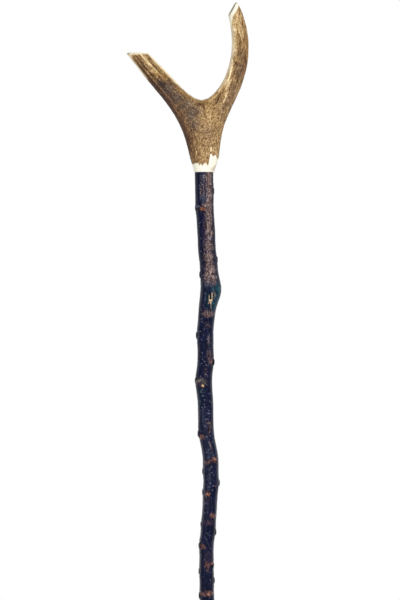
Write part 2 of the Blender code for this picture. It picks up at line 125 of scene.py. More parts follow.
def make_piece(mesh, name, finish, body, slot, *nodes):
    """Links a mesh as a piece that stands for some of the solids and rides on their body."""
    piece = bpy.data.objects.new(name, mesh)
    bpy.context.scene.collection.objects.link(piece)
    mesh.materials.clear()
    mesh.materials.append(finish)
    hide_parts(*nodes)
    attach(piece, body)
    print(name, "has", len(mesh.polygons), "faces")


# %% [markdown]
# ## Lines that are measured along
# Antler grows along a line, and a ridge or a scratch runs along one too. So one helper measures every point
# against a line: how far along it, and how far to its right. Another rounds the corners off a line that is
# given by a few points.

# %% Measure along a line
def rounded(line, rounds=3):
    """Cuts the corners off a line until it is a smooth curve."""
    spots = np.array(line, float)
    for _ in range(rounds):
        near = spots[:-1] * 0.75 + spots[1:] * 0.25
        far = spots[:-1] * 0.25 + spots[1:] * 0.75
        spots = np.vstack([spots[:1], np.stack([near, far], 1).reshape(-1, 2), spots[-1:]])
    return spots


def measure_along(places, line):
    """How far along the line each place is, and how far to the right of it."""
    start, run = line[:-1], np.diff(line, axis=0)
    length = np.linalg.norm(run, axis=1)
    reached = np.concatenate([[0], np.cumsum(length)])
    away = places[:, None, :] - start[None]
    share = np.clip((away * run).sum(2) / length**2, 0, 1)
    offset = away - share[..., None] * run
    gap = np.linalg.norm(offset, axis=2)
    nearest = gap.argmin(1)
    rows = np.arange(len(places))
    side = away[rows, nearest, 0] * run[nearest, 1] - away[rows, nearest, 1] * run[nearest, 0]
    along = reached[nearest] + share[rows, nearest] * length[nearest]
    return along, np.sign(side) * gap[rows, nearest]


# %% [markdown]
# ## Painting where the photo shows it
# Ridges, stains and scars are put on one by one, as a painter does it: with soft oval dabs and with soft
# lines, both placed by photo pixels. They reach only the side of the stick that faces us. A dab is its
# column, its row, its reach across and up in pixels, and its strength. A line is its half-width in pixels,
# its strength and its pixels.

# %% Dabs and lines
class View:
    """The points of one mesh as the photo sees them: sideways and up, and 1 where they face us."""

    def __init__(self, points, facing_us):
        self.flat = np.stack([points[:, 0], points[:, 2] - JOINT_Z], 1)
        self.front = facing_us

    def dab(self, column, row, across, up, strength):
        offset = (self.flat - seen(column, row)) / (across * MM_PER_PIXEL, up * MM_PER_PIXEL)
        return strength * np.exp(-(offset**2).sum(1)) * self.front

    def line(self, half_width, strength, *pixels):
        """Thins out towards its last pixel."""
        path = np.array([seen(*pixel) for pixel in pixels])
        along, aside = measure_along(self.flat, path)
        total = np.linalg.norm(np.diff(path, axis=0), axis=1).sum()
        near = np.exp(-((aside / (half_width * MM_PER_PIXEL)) ** 2))
        return strength * near * (0.25 + 0.75 * step(along, total, total * 0.6)) * self.front

    def layers(self, marks):
        return [self.line(*mark) if isinstance(mark[2], tuple) else self.dab(*mark) for mark in marks]

    def strongest(self, marks):
        return np.max(self.layers(marks), axis=0)

    def together(self, marks):
        return np.sum(self.layers(marks), axis=0)


# %% [markdown]
# ## Small tools for materials
# A material is a tree of nodes. Writing each link out makes a long list that hides the idea, so this class
# adds a node, sets its values and links its inputs in one line. Colours are written as the eye reads them off
# a photo, from 0 to 255, and turned into the linear values that the shader needs.

# %% A short way to write node trees
def colour(red, green, blue):
    linear = []
    for value in (red, green, blue):
        share = value / 255
        linear.append(share / 12.92 if share <= 0.04045 else ((share + 0.055) / 1.055) ** 2.4)
    return (*linear, 1.0)


class Finish:
    """One material in the making: each method adds a node and hands back the socket it ends in."""

    def __init__(self, name):
        self.material = bpy.data.materials.new(name)
        self.material.use_nodes = True
        self.tree = self.material.node_tree
        self.shader = self.tree.nodes["Principled BSDF"]

    def feed(self, socket, value):
        if isinstance(value, bpy.types.NodeSocket):
            self.tree.links.new(value, socket)
        else:
            socket.default_value = value

    def attribute(self, name, vector=False):
        node = self.tree.nodes.new("ShaderNodeAttribute")
        node.attribute_name = name
        return node.outputs["Vector" if vector else "Fac"]

    def place(self):
        return self.tree.nodes.new("ShaderNodeTexCoord").outputs["Object"]

    def stretched(self, vector, scale):
        node = self.tree.nodes.new("ShaderNodeMapping")
        self.feed(node.inputs["Vector"], vector)
        node.inputs["Scale"].default_value = scale
        return node.outputs["Vector"]

    def noise(self, vector, scale, detail=2.0, roughness=0.5):
        node = self.tree.nodes.new("ShaderNodeTexNoise")
        self.feed(node.inputs["Vector"], vector)
        node.inputs["Scale"].default_value = scale
        node.inputs["Detail"].default_value = detail
        node.inputs["Roughness"].default_value = roughness
        return node.outputs["Fac"]

    def cells(self, vector, scale):
        """Distance to the nearest of many scattered points: 0 at each point."""
        node = self.tree.nodes.new("ShaderNodeTexVoronoi")
        self.feed(node.inputs["Vector"], vector)
        node.inputs["Scale"].default_value = scale
        return node.outputs["Distance"]

    def turned_away(self):
        """0 where the surface faces the eye and 1 where it is seen edge on, for a gloss that grows there."""
        return self.tree.nodes.new("ShaderNodeLayerWeight").outputs["Facing"]

    def sum(self, operation, first, second=0.0):
        node = self.tree.nodes.new("ShaderNodeMath")
        node.operation = operation
        self.feed(node.inputs[0], first)
        self.feed(node.inputs[1], second)
        return node.outputs[0]

    def between(self, value, low, high, start=0.0, end=1.0):
        """Maps low..high of a value smoothly to start..end."""
        node = self.tree.nodes.new("ShaderNodeMapRange")
        node.interpolation_type = "SMOOTHSTEP"
        self.feed(node.inputs["Value"], value)
        node.inputs["From Min"].default_value = low
        node.inputs["From Max"].default_value = high
        node.inputs["To Min"].default_value = start
        node.inputs["To Max"].default_value = end
        return node.outputs["Result"]

    def ramp(self, value, *stops):
        """A run of colours: each stop is a place from 0 to 1 and a colour, from 0 to 255."""
        node = self.tree.nodes.new("ShaderNodeValToRGB")
        self.feed(node.inputs["Fac"], value)
        bar = node.color_ramp.elements
        while len(bar) < len(stops):
            bar.new(0.5)
        for element, (place, tint) in zip(bar, stops):
            element.position = place
            element.color = colour(*tint)
        return node.outputs["Color"]

    def over(self, share, below, above):
        """Lays a colour over another one, by a share."""
        node = self.tree.nodes.new("ShaderNodeMix")
        node.data_type = "RGBA"
        self.feed(node.inputs["Factor"], share)
        self.feed(node.inputs[6], below)
        self.feed(node.inputs[7], above)
        return node.outputs[2]

    def bump(self, height, distance, strength=1.0):
        node = self.tree.nodes.new("ShaderNodeBump")
        node.inputs["Strength"].default_value = strength
        node.inputs["Distance"].default_value = distance
        self.feed(node.inputs["Height"], height)
        return node.outputs["Normal"]

    def set(self, **sockets):
        """Sets or links the shader's own sockets: base_color is Base Color."""
        for name, value in sockets.items():
            self.feed(self.shader.inputs[name.replace("_", " ").title()], value)


print("tan skin in linear values:", [round(value, 3) for value in colour(170, 130, 85)[:3]])

# %% [markdown]
# ## The antler's two grain lines
# A stag's antler grows as one stem that parts. Its ridges and gutters run along it, up the stem and out along
# each limb. So two lines are drawn through the middle of the fork: one up the stem and out of the short arm,
# one up the stem and through the long tine. Each point of the surface is measured against both: how far
# along, how far to the right, how far to the back. In the crown, where the limbs part, the two answers are
# blended.

# %% Middle lines of the two limbs, in millimetres sideways and up from the joint
ARM_LINE = (
    (-2.4, -5), (-2.6, 21), (-3.2, 38), (-5.4, 52), (-11.5, 64), (-20.5, 74), (-32.9, 86), (-83.9, 143.4),
)
TINE_LINE = (
    (-2.4, -5), (-2.6, 21), (-3.0, 38), (-1.2, 52), (5.0, 64), (13.5, 76), (22.4, 88.4), (33.4, 109),
    (40.6, 129), (43.4, 149), (42.2, 168), (38.5, 183), (33.1, 196), (27.0, 212),
)
CROWN_MIDDLE = -5.2  # sideways place of the crotch
CROWN_BLEND = 9.0  # to each side of it
arm_line, tine_line = rounded(ARM_LINE), rounded(TINE_LINE)
print("arm line:", len(arm_line), "points; tine line:", len(tine_line), "points")

# %% [markdown]
# ## A fine skin for the fork
# The solid of the fork has the right form but large faces. A copy of it is merged, turned into small even
# squares by a voxel remesh, and relaxed a little. The remesh softens the sawn edges by half a millimetre, as
# a file does. Even squares are what relief needs: a ridge can then run in any direction.

# %% Copy, remesh and relax
ANTLER_SQUARE = 0.000625


def merged_copy(node):
    bm = bmesh.new()
    bm.from_mesh(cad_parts[node].data)
    bmesh.ops.remove_doubles(bm, verts=bm.verts, dist=1e-6)
    return bm


def fine_skin(node, square):
    bm = merged_copy(node)
    mesh = bpy.data.meshes.new("rough")
    bm.to_mesh(mesh)
    bm.free()
    rough = bpy.data.objects.new("rough", mesh)
    bpy.context.scene.collection.objects.link(rough)
    remesh = rough.modifiers.new("squares", "REMESH")
    remesh.mode = "VOXEL"
    remesh.voxel_size = square
    fine = bpy.data.meshes.new_from_object(rough.evaluated_get(bpy.context.evaluated_depsgraph_get()))
    bpy.data.objects.remove(rough)
    bm = bmesh.new()
    bm.from_mesh(fine)
    for _ in range(3):
        bmesh.ops.smooth_vert(
            bm, verts=bm.verts, factor=0.5, use_axis_x=True, use_axis_y=True, use_axis_z=True,
        )
    bm.to_mesh(fine)
    bm.free()
    fine.shade_smooth()
    return fine


antler_mesh = fine_skin("antler_fork", ANTLER_SQUARE)
skin = points_of(antler_mesh)
facing = normals_of(antler_mesh)
print("antler skin:", len(skin), "points,", len(antler_mesh.polygons), "squares")

# %% Where each point of the antler is
in_front = step(facing[:, 1], 0.25, -0.25)
behind = 1 - in_front
antler_view = View(skin, in_front)
sideways, height, depth = antler_view.flat[:, 0], antler_view.flat[:, 1], skin[:, 1]
arm_along, arm_right = measure_along(antler_view.flat, arm_line)
tine_along, tine_right = measure_along(antler_view.flat, tine_line)
on_tine = step(sideways - CROWN_MIDDLE, -CROWN_BLEND, CROWN_BLEND)
arm_grain = np.stack([arm_right, depth, arm_along], 1)
tine_grain = np.stack([tine_right, depth, tine_along], 1)


def on_both_limbs(work):
    """Works something out along both grain lines and blends the answers in the crown."""
    return work(arm_grain) * (1 - on_tine) + work(tine_grain) * on_tine


LIMB_HALVES = (
    (0, 12), (20, 17.5), (38, 20.5), (58, 22), (82, 13.6), (102, 12.2), (127, 11.2), (162, 10.4), (196, 8.6),
)
limb_half = np.interp(height, *zip(*LIMB_HALVES))
towards_thumb = np.where(sideways < CROWN_MIDDLE, arm_right, -tine_right) / limb_half
on_limb = step(height, 74, 98)
print("share of the points on the tine's side:", round(float(on_tine.mean()), 2))

# %% [markdown]
# ## Ridges, gutters and worm tracks
# Antler is bone that blood vessels ran over while it grew. They left gutters, and between the gutters stand
# ridges. On the stem the relief is short and wormy, a millimetre or two wide. On the limbs it is drawn out
# along the grain. Noise that is stretched along the grain gives both, and the strong ridges and gutters that
# the photo shows on the arm and the tine are drawn over it as lines.

# %% Strong ridges and gutters, as lines
RIDGES = (
    (0.85, 1.00, (140.2, 54.0), (144.4, 59.2), (148.5, 63.6), (152.6, 67.2), (156.2, 71.0), (160.3, 75.4),
        (165.0, 81.0)),
    (0.60, 0.80, (136.0, 54.8), (137.8, 57.8), (142.0, 63.2), (147.4, 69.0), (150.6, 73.0)),
    (0.50, 0.75, (134.6, 58.2), (138.6, 63.4), (144.2, 70.2), (150.4, 77.0), (156.6, 84.0), (161.0, 89.0)),
    (0.55, 0.90, (129.6, 55.4), (133.0, 60.2), (138.0, 67.0), (145.4, 76.4), (152.0, 84.0)),
    (0.60, 0.60, (143.0, 55.0), (147.5, 60.5), (151.5, 64.5), (155.0, 68.5)),
    (0.55, 0.55, (161.5, 89.0), (165.0, 94.0), (169.6, 99.6), (174.0, 105.5)),
    (0.60, 0.80, (232.6, 60.0), (231.4, 68.0), (230.2, 75.0), (228.0, 84.0), (225.6, 90.0)),
    (0.60, 1.00, (228.4, 91.5), (226.2, 95.0), (225.4, 98.6), (223.6, 102.6), (220.0, 107.2)),
    (0.60, 0.60, (222.0, 86.0), (219.0, 92.0), (215.8, 97.0), (213.0, 101.0)),
    (0.50, 0.55, (240.0, 18.0), (243.0, 28.0), (245.4, 38.0), (245.8, 46.0)),
    (0.45, 0.50, (237.0, 22.0), (239.4, 31.0), (241.0, 39.0)),
    (0.45, 0.80, (217.4, 134.5), (217.7, 139.0), (217.3, 143.5)),
    (0.45, 0.45, (193.2, 134.0), (194.4, 143.0), (195.6, 152.0)),
)
GUTTERS = (
    (1.15, 1.00, (132.6, 56.2), (135.6, 61.0), (139.6, 66.4), (144.6, 72.4), (150.0, 79.0), (156.4, 87.0),
        (163.0, 95.0)),
    (0.95, 1.00, (136.4, 56.6), (140.3, 61.9), (146.8, 69.6), (151.5, 75.4), (156.0, 80.4), (160.4, 85.0)),
    (0.80, 0.55, (138.6, 54.2), (141.6, 58.6), (145.4, 63.4)),
    (1.10, 0.70, (148.6, 59.2), (152.6, 64.6), (157.9, 70.1), (165.0, 76.8), (172.0, 83.6), (179.0, 90.4)),
    (0.80, 0.60, (161.0, 83.5), (165.5, 90.0), (171.0, 97.0), (176.0, 104.0)),
    (0.70, 0.50, (241.6, 22.0), (244.0, 32.0), (244.6, 40.0), (244.0, 48.0)),
    (0.70, 0.50, (235.4, 24.0), (237.0, 31.0), (238.6, 38.0)),
    (0.80, 0.50, (234.6, 66.0), (233.0, 76.0), (231.0, 85.0), (227.6, 93.0), (223.4, 99.0)),
    (0.60, 0.45, (191.4, 120.0), (194.0, 132.0), (196.2, 144.0)),
)
drawn_ridges = antler_view.strongest(RIDGES)
drawn_gutters = antler_view.strongest(GUTTERS)
print("points on drawn ridges:", int((drawn_ridges > 0.5).sum()))
print("points in drawn gutters:", int((drawn_gutters > 0.5).sum()))

# %% The relief of the skin, from 0 in the valleys to 1 on the crests
stem_worms = on_both_limbs(lambda grain: worms(grain, (2.5, 2.5, 4.4), 2.6, 11.3))
fine_worms = on_both_limbs(lambda grain: worms(grain, (1.35, 1.35, 2.3), 2.2, 47.1))
limb_ridges = on_both_limbs(lambda grain: worms(grain, (2.8, 2.8, 17.0), 2.4, 5.7))
limb_hairs = on_both_limbs(lambda grain: worms(grain, (1.6, 1.6, 6.0), 2.2, 28.4))
broad = on_both_limbs(lambda grain: noise_at(grain, (6.5, 6.5, 40.0), 23.9))
wormy = 0.34 * stem_worms + 0.66 * fine_worms
streaky = 0.40 * limb_ridges + 0.35 * limb_hairs + 0.25 * fine_worms
relief = wormy * (1 - on_limb) + streaky * on_limb + (0.10 + 0.18 * behind * on_limb) * broad
relief = np.clip(relief + 0.65 * drawn_ridges - 0.75 * drawn_gutters, 0, 1.25)
print("relief: mean", round(float(relief.mean()), 2), "highest", round(float(relief.max()), 2))

# %% [markdown]
# ## Sawn ends and the dressed foot
# Where antler is sawn, it shows a hard ivory wall round a core like a dry sponge. The arm is sawn level and
# its edge is eased with a file. The tine is sawn on the slant, and a file has taken a flat off the front of
# the cut. The foot is filed down to a cone where it meets the shank, and the brown skin ends there in a
# ragged edge, with teeth where the file broke out of a gutter.

# %% Saw planes: a point and the direction that a cut faces
ARM_SAW = (np.array([0.0, 0.0, JOINT_Z + 143.4]), np.array([0.0, 0.0, 1.0]))
TINE_SAW = (np.array([35.8, 0.0, JOINT_Z + 204.4]), np.array([-0.848, -0.128, 0.514]))
TINE_FLAT = (np.array([33.9, -6.2, JOINT_Z + 198.4]), np.array([-0.665, -0.620, 0.416]))
on_arm_end = (sideways < CROWN_MIDDLE) * (height > 120)
on_tine_end = (sideways > CROWN_MIDDLE) * (height > 172)


def past(plane):
    """How far each point is past a plane, in millimetres; less than 0 on the antler's side of it."""
    return (skin - plane[0]) @ plane[1]


arm_face = step(past(ARM_SAW), -0.75, -0.30) * on_arm_end
tine_face = step(past(TINE_SAW), -0.75, -0.30) * on_tine_end
eased = step(past(ARM_SAW), -1.7, -0.5) * on_arm_end * (1 - arm_face)
filed_off = np.clip(past(TINE_FLAT), 0, None) * on_tine_end
filed_flat = step(past(TINE_FLAT), -0.25, 0.10) * on_tine_end
for where, face in (("arm's cut", arm_face), ("tine's cut", tine_face), ("filed flat", filed_flat)):
    print("points on the", where, int((face > 0.5).sum()))

# %% The spongy core, inside the ivory wall of each cut
wobble = noise_at(skin, (3.2, 3.2, 3.2), 3.3) * 0.12


def share_of_cut(face, first, second, shift=(0.0, 0.0)):
    """0 in the middle of a cut and 1 at its rim, measured in two directions."""
    spots = skin[face > 0.5]
    total = 0.0
    for direction, moved in zip((first, second), shift):
        here = spots @ np.array(direction)
        middle, half = (here.max() + here.min()) / 2, (here.max() - here.min()) / 2
        total = total + ((skin @ np.array(direction) - middle - moved) / half) ** 2
    return np.sqrt(total)


arm_share = share_of_cut(arm_face, (1, 0, 0), (0, 1, 0))
tine_share = share_of_cut(tine_face, (0.518, 0, 0.855), (-0.109, 0.992, 0.066), (0.0, 1.2))
core = arm_face * step(arm_share + wobble, 0.68, 0.56) + tine_face * step(tine_share + wobble, 0.84, 0.72)
crescent = antler_view.line(1.25, 1.5, (235.8, 3.0), (234.2, 5.2), (231.8, 9.8), (230.0, 13.6), (228.4, 18.6))
core = np.maximum(core * (1 - filed_flat), np.clip(crescent - 0.25, 0, 1) * on_tine_end)
print("points in the core:", int((core > 0.5).sum()))

# %% The ragged edge of the brown skin over the filed foot
FRONT_EDGE = (
    (190.0, 162.2), (191.6, 163.4), (193.4, 165.0), (195.0, 163.6), (198.2, 163.6), (199.5, 166.0),
    (200.7, 163.8), (202.3, 166.4), (203.8, 164.0), (206.6, 163.8), (208.0, 166.6), (208.8, 164.0),
    (209.3, 160.0), (209.9, 157.6), (210.2, 154.8), (211.6, 154.4), (213.2, 157.6), (214.4, 155.6),
    (216.0, 155.6), (217.5, 159.8), (219.0, 156.4),
)
edge_line = np.array([seen(*pixel) for pixel in FRONT_EDGE])
front_edge = np.interp(sideways, edge_line[:, 0], edge_line[:, 1])
round_foot = np.arctan2(depth, sideways - STEM_MIDDLE)
round_place = np.stack([np.cos(round_foot), np.sin(round_foot), 0 * round_foot], 1) * 16
back_edge = 12.0 + 4.0 * noise_at(round_place, (9, 9, 9), 8.8)
back_edge = back_edge + 6.0 * noise_at(round_place, (2.2, 2.2, 2.2), 31.0)
skin_edge = front_edge * in_front + back_edge * behind
ragged = skin_edge + 0.7 * noise_at(skin, (1.2, 1.2, 3.0), 19.0)
dressed = step(height, ragged + 0.3, ragged - 0.3)
print("dressed share of the surface:", round(float(dressed.mean()), 3))

# %% [markdown]
# ## Moving the points
# Crests stand up and valleys sink by as much, so the outline of the fork stays where the solid has it. Near
# the solid's farthest reach to each side the relief sinks in instead, so nothing sticks out of the stick's
# own box. The sawn and filed places stay smooth: only the core is pitted, and the skin stands a little proud
# of the filed foot.

# %% Relief in millimetres
MIDDLE_RELIEF = 0.46  # the skin stays there where the solid has it
bare = np.clip(arm_face + tine_face + filed_flat + dressed + 0.7 * eased, 0, 1)
bore = (np.hypot(sideways - STEM_MIDDLE, depth) < 4.6) & (height < 58)  # the stud's hole stays as it is
deep = 0.50 * (1 - on_limb) + 0.60 * on_limb
rise = (deep * (relief - MIDDLE_RELIEF) - 0.40 * drawn_gutters + 0.10 * broad) * (1 - bare)
rise = rise - 0.14 * dressed * step(height, -1, 4) - 0.85 * eased
pits = core * (0.25 + 0.55 * step(noise_at(skin, (1.5, 1.5, 1.5), 60.0), 0.0, 0.3))
rise = np.where(bore, 0.0, rise - pits)
low, high = np.array(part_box("antler_fork")) * 1000
for axis in range(2):
    outward = np.where(facing[:, axis] > 0, high[axis] - skin[:, axis], skin[:, axis] - low[axis])
    drawn_in = np.clip(0.4 - outward, 0, 0.4) * step(np.abs(facing[:, axis]), 0.5, 0.9)
    rise = rise - drawn_in * (1 - bare)
skin = skin + facing * rise[:, None] - filed_off[:, None] * TINE_FLAT[1]
skin = np.clip(skin, low, high)
put_points(antler_mesh, skin)
print("the skin moves between", round(float(rise.min()), 2), "and", round(float(rise.max()), 2), "mm")

# %% [markdown]
# ## Stains of the antler
# The colour of antler comes from outside: bark juice and soil stain the valleys, and rubbing keeps the ridges
# pale. The photo shows a grey-brown cheek on the left of the crown, a russet streak down its flank beside an
# almost black edge, olive gold under the crotch, and cream where the thumb rests. Tone is how dark the skin
# is there, whatever its colour: dabs make it lighter or darker before the colour is chosen. The dabs hold
# painted light and shade as well as the skin's own lighter and darker places: lit and shaded parts of the
# fork are laid into its tone.

# %% Tone: dabs that lighten (more than 0) or darken the skin
# Painted light and shade: many of these dabs lighten lit places and darken shaded ones, mixed with the skin's
# own tone.
TONES = (
    (131, 56, 2.4, 2.4, 0.26), (140, 64, 4, 5, -0.10), (143, 74, 4, 6, -0.16), (151, 80, 5, 6, -0.26),
    (160, 80, 5, 4, -0.12), (158, 87, 7, 6, -0.26), (167, 86, 7, 5, -0.20), (171, 98, 9, 8, -0.26),
    (184, 100, 8, 6, -0.14), (180, 108, 7, 9, -0.17), (194, 112, 6, 7, -0.14), (189, 124, 6, 9, -0.14),
    (190, 140, 5, 10, -0.18), (193, 152, 5, 9, -0.12), (146, 64, 4, 4, 0.06), (152, 68, 3, 4, 0.10),
    (243, 42, 4, 6, -0.10), (242, 54, 6, 8, -0.17), (241, 68, 6, 10, -0.24), (236, 84, 5, 8, -0.18),
    (231, 96, 4, 8, -0.10), (233.5, 45, 2.6, 14, 0.34), (230, 68, 3, 8, 0.30), (224, 80, 5, 7, 0.34),
    (217, 90, 5, 4, 0.16), (234, 24, 4, 10, 0.24), (238, 20, 4, 12, 0.12), (239, 32, 4, 6, 0.04),
    (209, 114, 8, 9, 0.06), (226, 106, 4, 8, -0.06), (203, 130, 9, 6, -0.06), (213, 134, 5, 5, -0.05),
    (206, 104, 8, 3, -0.10), (199, 105, 3.0, 1.4, -0.36), (204, 108.4, 1.0, 2.2, -0.40),
    (204.4, 114.6, 0.8, 2.2, -0.24), (193, 108.4, 3.0, 1.2, -0.26), (199, 108.2, 3.4, 1.2, 0.14),
    (239.4, 54.0, 2.6, 3.0, -0.04), (238.6, 45.4, 3.4, 1.6, -0.05), (238.8, 35.2, 1.3, 1.6, -0.24),
    (234.2, 32.4, 3.4, 0.7, -0.16), (235.4, 63.8, 1.6, 2.0, -0.20), (152, 71.6, 1.2, 1.2, 0.18),
    (163.6, 84.6, 2.0, 1.6, -0.16), (148.2, 72.2, 0.8, 0.8, 0.18), (154.4, 78.4, 0.8, 0.8, 0.16),
    (157.2, 82.4, 0.8, 0.8, 0.16), (234.5, 18.0, 1.4, 1.4, -0.26), (239.6, 11.5, 0.6, 4.0, -0.26),
    (242.4, 22.0, 0.7, 6.0, -0.22), (218.6, 95.0, 3.4, 3.0, -0.12), (223, 102, 4.0, 5.0, -0.12),
    (215, 103, 3.0, 3.4, -0.08), (211.0, 149.6, 0.7, 3.0, 0.55), (216.2, 151.6, 0.7, 3.4, 0.45),
    (196.2, 153.6, 0.7, 2.2, 0.45), (210.8, 153.0, 0.7, 0.9, -0.5), (213.4, 150.0, 0.8, 2.4, 0.20),
    (245.8, 64, 1.2, 10, -0.06), (186, 113, 8, 7, -0.09), (192, 142, 4, 14, -0.08), (217, 112, 6, 6, -0.07),
    (201, 106, 4, 3, -0.08), (225, 107, 3, 5, -0.07), (219, 98, 2.4, 3.0, -0.12), (216, 104, 2.0, 2.0, -0.08),
    (225, 84, 5, 7, 0.12), (214, 93, 6, 4, 0.09), (192, 113, 3, 3, 0.07), (244, 30, 2, 8, 0.10),
    (238, 32, 3, 8, 0.09), (235, 80, 2.5, 8, 0.10), (233, 53, 2, 4, 0.12), (228, 74, 2, 4, -0.08),
    (144, 67, 4, 6, -0.12), (152, 67, 2.5, 3, -0.14), (168, 79, 2.5, 3, 0.12), (163, 89, 3, 2.5, -0.08),
    (212, 99, 3, 3.5, 0.12), (178, 104, 2.5, 2.5, -0.08), (198, 124, 2.5, 8, -0.08),
    (218, 119, 2.5, 3, -0.09), (210, 139, 4, 2.5, -0.10), (213, 149, 1.6, 2.5, -0.12),
    (196, 160, 4, 3, -0.10), (183, 119, 2.5, 2.5, -0.07), (213, 96, 2.5, 3, 0.10), (211, 103, 2.5, 2.5, 0.10),
    (237, 78, 2, 9, -0.12), (229, 84, 2.5, 4, 0.12), (232.5, 77, 2, 5, 0.08), (150, 69, 3.5, 3, -0.10),
    (157, 74, 2.5, 2.5, -0.12), (163, 74, 2.5, 2.5, 0.10),
    (1.0, -0.22, (224.0, 90.4), (221.0, 94.0), (218.6, 98.0), (216.4, 103.0), (215.0, 106.0)),
    (0.7, 0.30, (228.4, 91.5), (226.2, 95.0), (225.4, 98.6), (223.6, 102.6), (219.0, 109.0)),
    (0.6, 0.20, (231.4, 68.0), (230.2, 75.0), (228.0, 84.0), (225.0, 92.0)),
)
PLAIN_TONE = 0.452
tone = PLAIN_TONE + antler_view.together(TONES)
cloud = on_both_limbs(lambda grain: noise_at(grain, (12, 12, 24), 90.0))
mottle = on_both_limbs(lambda grain: noise_at(grain, (4.4, 4.4, 8), 33.0))
tone = tone + behind * (0.30 * cloud + 0.16 * mottle) + 0.07 * mottle * in_front
print("tone before the flanks:", round(float(tone.min()), 2), "to", round(float(tone.max()), 2))

# %% The dark flanks of the stem and the limbs: painted shade towards their outlines, with the left flank's own dark stain
def flank(heights, starts, ends):
    """Rises towards the outline of the stem, between two places that are given at a few heights."""
    return step(sideways, np.interp(height, heights, starts), np.interp(height, heights, ends))


left_shade = flank((0, 40, 62, 92), (-14.5, -18.6, -24.5, -45), (-18.0, -22.5, -30, -53)) * (height < 94)
under_arm = step(towards_thumb, -0.78, -0.98) * (1 - on_tine) * step(height, 126, 100)
left_shade = left_shade + under_arm * (height >= 94)
right_shade = flank((0, 40, 62, 82), (13.2, 16.0, 21.0, 30.0), (16.0, 18.8, 24.4, 34.0)) * (height < 86)
right_shade = right_shade + step(-towards_thumb, 0.84, 1.02) * on_tine * (height >= 86)
# Painted shade: the skin darkens towards the right outline of the stem and the tine.
tone = tone - 0.12 * right_shade
print("tone runs from", round(float(tone.min()), 2), "to", round(float(tone.max()), 2))

# %% Stains that change the colour
GREY = (
    (160, 85, 6, 4, 0.9), (168, 90, 9, 7, 1.1), (176, 99, 9, 7, 1.0), (186, 106, 9, 7, 0.9),
    (191, 115, 7, 9, 1.0), (194, 125, 6, 7, 0.8), (197, 112, 5, 6, 0.8), (240, 72, 5, 10, 0.45),
    (234, 92, 4, 9, 0.45), (229, 104, 4, 8, 0.45), (223, 112, 4, 9, 0.40), (206, 133, 7, 6, 0.30),
    (240, 56, 4, 6, 0.30),
)
RUSSET = (
    (2.6, 1.0, (158.0, 88.0), (166.0, 99.0), (174.0, 110.0), (182.0, 122.0)),
    (2.4, 1.0, (180.0, 114.0), (186.0, 127.0), (190.0, 140.0), (193.0, 156.0)),
    (192, 142, 4, 12, 0.7), (243, 74, 2.5, 8, 0.7), (246, 64, 1.5, 12, 0.7), (206, 146, 8, 8, 0.2),
    (197, 160, 6, 4, 0.3), (182, 104, 4, 3, 0.3), (164, 93, 3, 4, 0.5),
)
GOLD = (
    (
        1.5, 1.0, (176.0, 88.5), (184.0, 94.8), (192.0, 99.4), (200.0, 102.0), (208.0, 101.4), (214.0, 97.4),
        (218.0, 93.0), (222.0, 88.0),
    ),
    (158, 73, 5, 5, 0.8), (165, 78, 4, 4, 0.7), (236, 28, 5, 14, 0.5), (243, 44, 3, 6, 0.7),
    (236, 58, 3, 5, 0.4), (206, 104, 6, 3, 0.7), (222, 90, 5, 6, 0.4), (213, 112, 8, 10, 0.35),
)
grey = np.clip(antler_view.strongest(GREY) + behind * step(cloud, 0.05, 0.4) * 0.7, 0, 1)
russet = np.clip(antler_view.strongest(RUSSET) + behind * step(-cloud, 0.1, 0.4) * 0.6, 0, 1)
gold = np.clip(antler_view.strongest(GOLD) + behind * step(mottle, 0.0, 0.4) * 0.5, 0, 1)
print("grey share:", round(float(grey.mean()), 2), "gold share:", round(float(gold.mean()), 2))

# %% Ivory: the thumb's rims, the tip and everything that is sawn or filed
TIP_IVORY = (
    (239.2, 4.6), (238.2, 7.0), (236.9, 10.4), (235.0, 13.6), (233.2, 15.6), (232.4, 18.6), (231.7, 24.0),
    (231.0, 30.0),
)
tip_line = np.array([seen(*pixel) for pixel in TIP_IVORY])
from_tip_line = sideways - np.interp(height, tip_line[::-1, 1], tip_line[::-1, 0])
left_of_tip = step(from_tip_line, 0.5, -0.5) * step(height, 169, 173) * (sideways > CROWN_MIDDLE)
RIM_HEIGHTS = (86, 96, 115, 141)
rim_start = np.interp(height, RIM_HEIGHTS, (1.03, 0.96, 0.84, 0.80))
rim_end = np.interp(height, RIM_HEIGHTS, (1.09, 1.04, 0.93, 0.90))
arm_rim = step(towards_thumb + 0.05 * mottle, rim_start, rim_end) * (1 - on_tine) * step(height, 84, 96)
LOW_RIM = (
    (0.75, 1.1, (128.6, 55.2), (133.0, 61.6), (138.4, 68.6), (147.0, 79.0)),
    (0.7, 0.9, (147.6, 53.8), (138.0, 54.0), (130.0, 54.6), (126.0, 54.8)),
)
low_rim = antler_view.strongest(LOW_RIM)
tine_rim = 0.50 * step(towards_thumb + 0.10 * mottle, 0.70, 1.02) * on_tine * step(height, 92, 118)
sawn_wall = (arm_face + tine_face) * (1 - core)
rims = np.maximum.reduce([arm_rim, low_rim, tine_rim, left_of_tip])
worked = np.maximum.reduce([dressed, sawn_wall, filed_flat, 0.9 * eased])
ivory = np.clip(np.maximum(rims, worked), 0, 1)
# Painted shade on the ivory: greyed at the lower right of the filed foot, and in a thin line along the arm's
# outline where it turns away.
FOOT_SHADE = ((1.5, 1.0, (216.0, 166.6), (213.6, 168.8), (210.4, 171.6)), (213.4, 169.6, 2.6, 2.0, 1.0))
ivory_shade = antler_view.strongest(FOOT_SHADE) * dressed
ivory_shade = np.maximum(ivory_shade, 0.8 * step(towards_thumb, 0.98, 1.06) * arm_rim)
print("ivory share:", round(float(ivory.mean()), 2))

